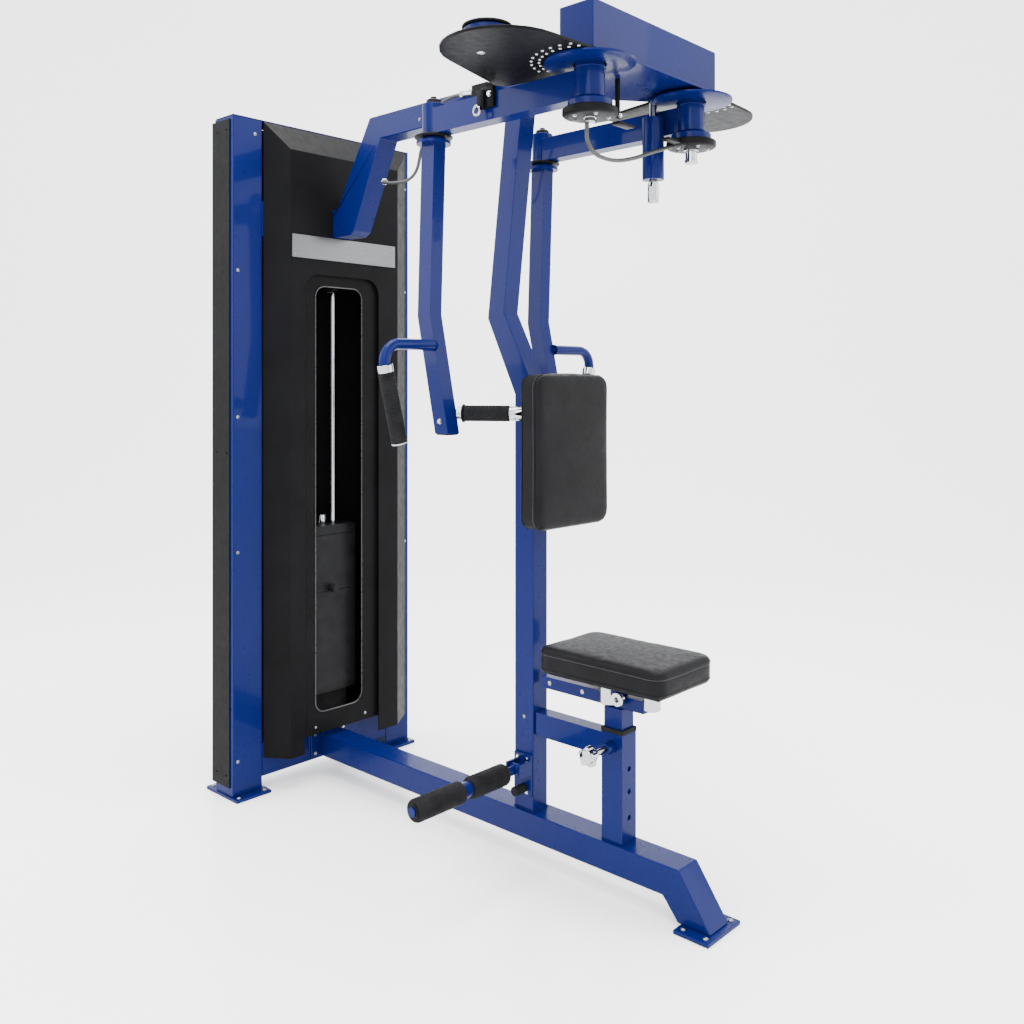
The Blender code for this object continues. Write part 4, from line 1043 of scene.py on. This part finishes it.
def make_lever_hardware():
    for tag in ("inner", "outer"):
        node = tag + "_foot_roller"
        low, high, middle = box_of(node)
        radius = (high.z - low.z) / 2
        long = high.x - low.x
        profile = [(0.0135, 0), (radius - 0.006, 0), (radius - 0.0018, 0.0018), (radius, 0.006),
                   (radius, long - 0.006), (radius - 0.0018, long - 0.0018), (radius - 0.006, long),
                   (0.0135, long)]
        turned_piece(tag + "_foam_roller", profile, (low.x, middle.y, middle.z), (1, 0, 0), 48,
                     "moulded_rubber", "foot_lever", "rubber", [node], sharp=50)
    low, _, middle = box_of("outer_foot_roller")
    profile = [(0, 0), (0.0120, 0), (0.0160, 0.0008), (0.0165, 0.0030), (0, 0.0030)]
    turned_piece("roller_end_cap", profile, (low.x - 0.0002, middle.y, middle.z), (-1, 0, 0), 32,
                 "cam_black", "foot_lever", "black_paint")
    low, high, _ = box_of("foot_lever_bracket")
    seats = [("foot_lever_bracket", (-0.2, y, z), (1, 0, 0)) for y in (low.y + 0.012, high.y - 0.012)
             for z in (low.z + 0.010, high.z - 0.010)]
    bolt_group("foot_lever_bolts", "root", seats, 0.0046, True, "bright_chrome")


# ---- operators ----
class StageOperator(bpy.types.Operator):
    """Sets out the plain studio: floor, light and camera"""
    bl_idname = "pec_deck.stage"
    bl_label = "Studio"

    def execute(self, context):
        make_stage()
        return {"FINISHED"}


class FrameOperator(bpy.types.Operator):
    """Gives every frame node its finish and eased edges"""
    bl_idname = "pec_deck.frame"
    bl_label = "Frame finish"

    def execute(self, context):
        settings = settings_of(context)
        make_materials(settings)
        slots = {part["node"]: part["material_slot"] for part in frame["record"]["subparts"]}
        for node, obj in frame["nodes"].items():
            finish_node(node, obj, slots[node], settings.edge)
        return {"FINISHED"}


class PadsOperator(bpy.types.Operator):
    """Makes the chest pad and the seat pad with their piping and stitches"""
    bl_idname = "pec_deck.pads"
    bl_label = "Pads"

    def execute(self, context):
        settings = settings_of(context)
        make_chest_pad(settings)
        make_seat_pad(settings)
        return {"FINISHED"}


class BaseHardwareOperator(bpy.types.Operator):
    """Bolts the feet, the beam's flange and the column, and welds the column's foot"""
    bl_idname = "pec_deck.base_hardware"
    bl_label = "Base bolts"

    def execute(self, context):
        make_base_hardware()
        return {"FINISHED"}


class TowerTrimOperator(bpy.types.Operator):
    """Adds the tower's screws, the window's rim (a thin tube whose lighter colour is a painted highlight of
    the edge) and corners, and the plaque's rivets
    """
    bl_idname = "pec_deck.tower_trim"
    bl_label = "Tower trim"

    def execute(self, context):
        make_tower_trim()
        return {"FINISHED"}


class OverheadOperator(bpy.types.Operator):
    """Adds the pivots' discs, the cams' rollers and bolts, and the cables' fittings"""
    bl_idname = "pec_deck.overhead"
    bl_label = "Overhead drive"

    def execute(self, context):
        make_overhead_hardware()
        return {"FINISHED"}


class ArmsOperator(bpy.types.Operator):
    """Adds the arms' plugs, bolts, collars and ribbed grips"""
    bl_idname = "pec_deck.arms"
    bl_label = "Arm hardware"

    def execute(self, context):
        make_arm_hardware()
        return {"FINISHED"}


class SeatHardwareOperator(bpy.types.Operator):
    """Adds the seat's pull knob, clamp cylinders and rail bolts"""
    bl_idname = "pec_deck.seat_hardware"
    bl_label = "Seat hardware"

    def execute(self, context):
        make_seat_hardware()
        return {"FINISHED"}


class LeverOperator(bpy.types.Operator):
    """Adds the foot lever's rollers, cap and bolts"""
    bl_idname = "pec_deck.lever"
    bl_label = "Foot lever"

    def execute(self, context):
        make_lever_hardware()
        return {"FINISHED"}


STEPS = [StageOperator, FrameOperator, PadsOperator, BaseHardwareOperator, TowerTrimOperator,
         OverheadOperator, ArmsOperator, SeatHardwareOperator, LeverOperator]


class PecDeckPanel(bpy.types.Panel):
    """Lists the machine's sizes, colours and building steps"""
    bl_idname = "VIEW3D_PT_pec_deck"
    bl_label = "Pec deck machine"
    bl_space_type = "VIEW_3D"
    bl_region_type = "UI"
    bl_category = "Pec deck"

    def draw(self, context):
        layout = self.layout
        settings = settings_of(context)
        for name in PecDeckSettings.__annotations__:
            layout.prop(settings, name)
        for step in STEPS:
            layout.operator(step.bl_idname)


CLASSES = [PecDeckSettings, *STEPS, PecDeckPanel]


def register():
    for item in CLASSES:
        bpy.utils.register_class(item)
    bpy.types.Scene.pec_deck = bpy.props.PointerProperty(type=PecDeckSettings)


def unregister():
    del bpy.types.Scene.pec_deck
    for item in reversed(CLASSES):
        bpy.utils.unregister_class(item)


def main():
    register()
    for step in STEPS:
        group, call = step.bl_idname.split(".")
        getattr(getattr(bpy.ops, group), call)()


if __name__ == "__main__":
    main()
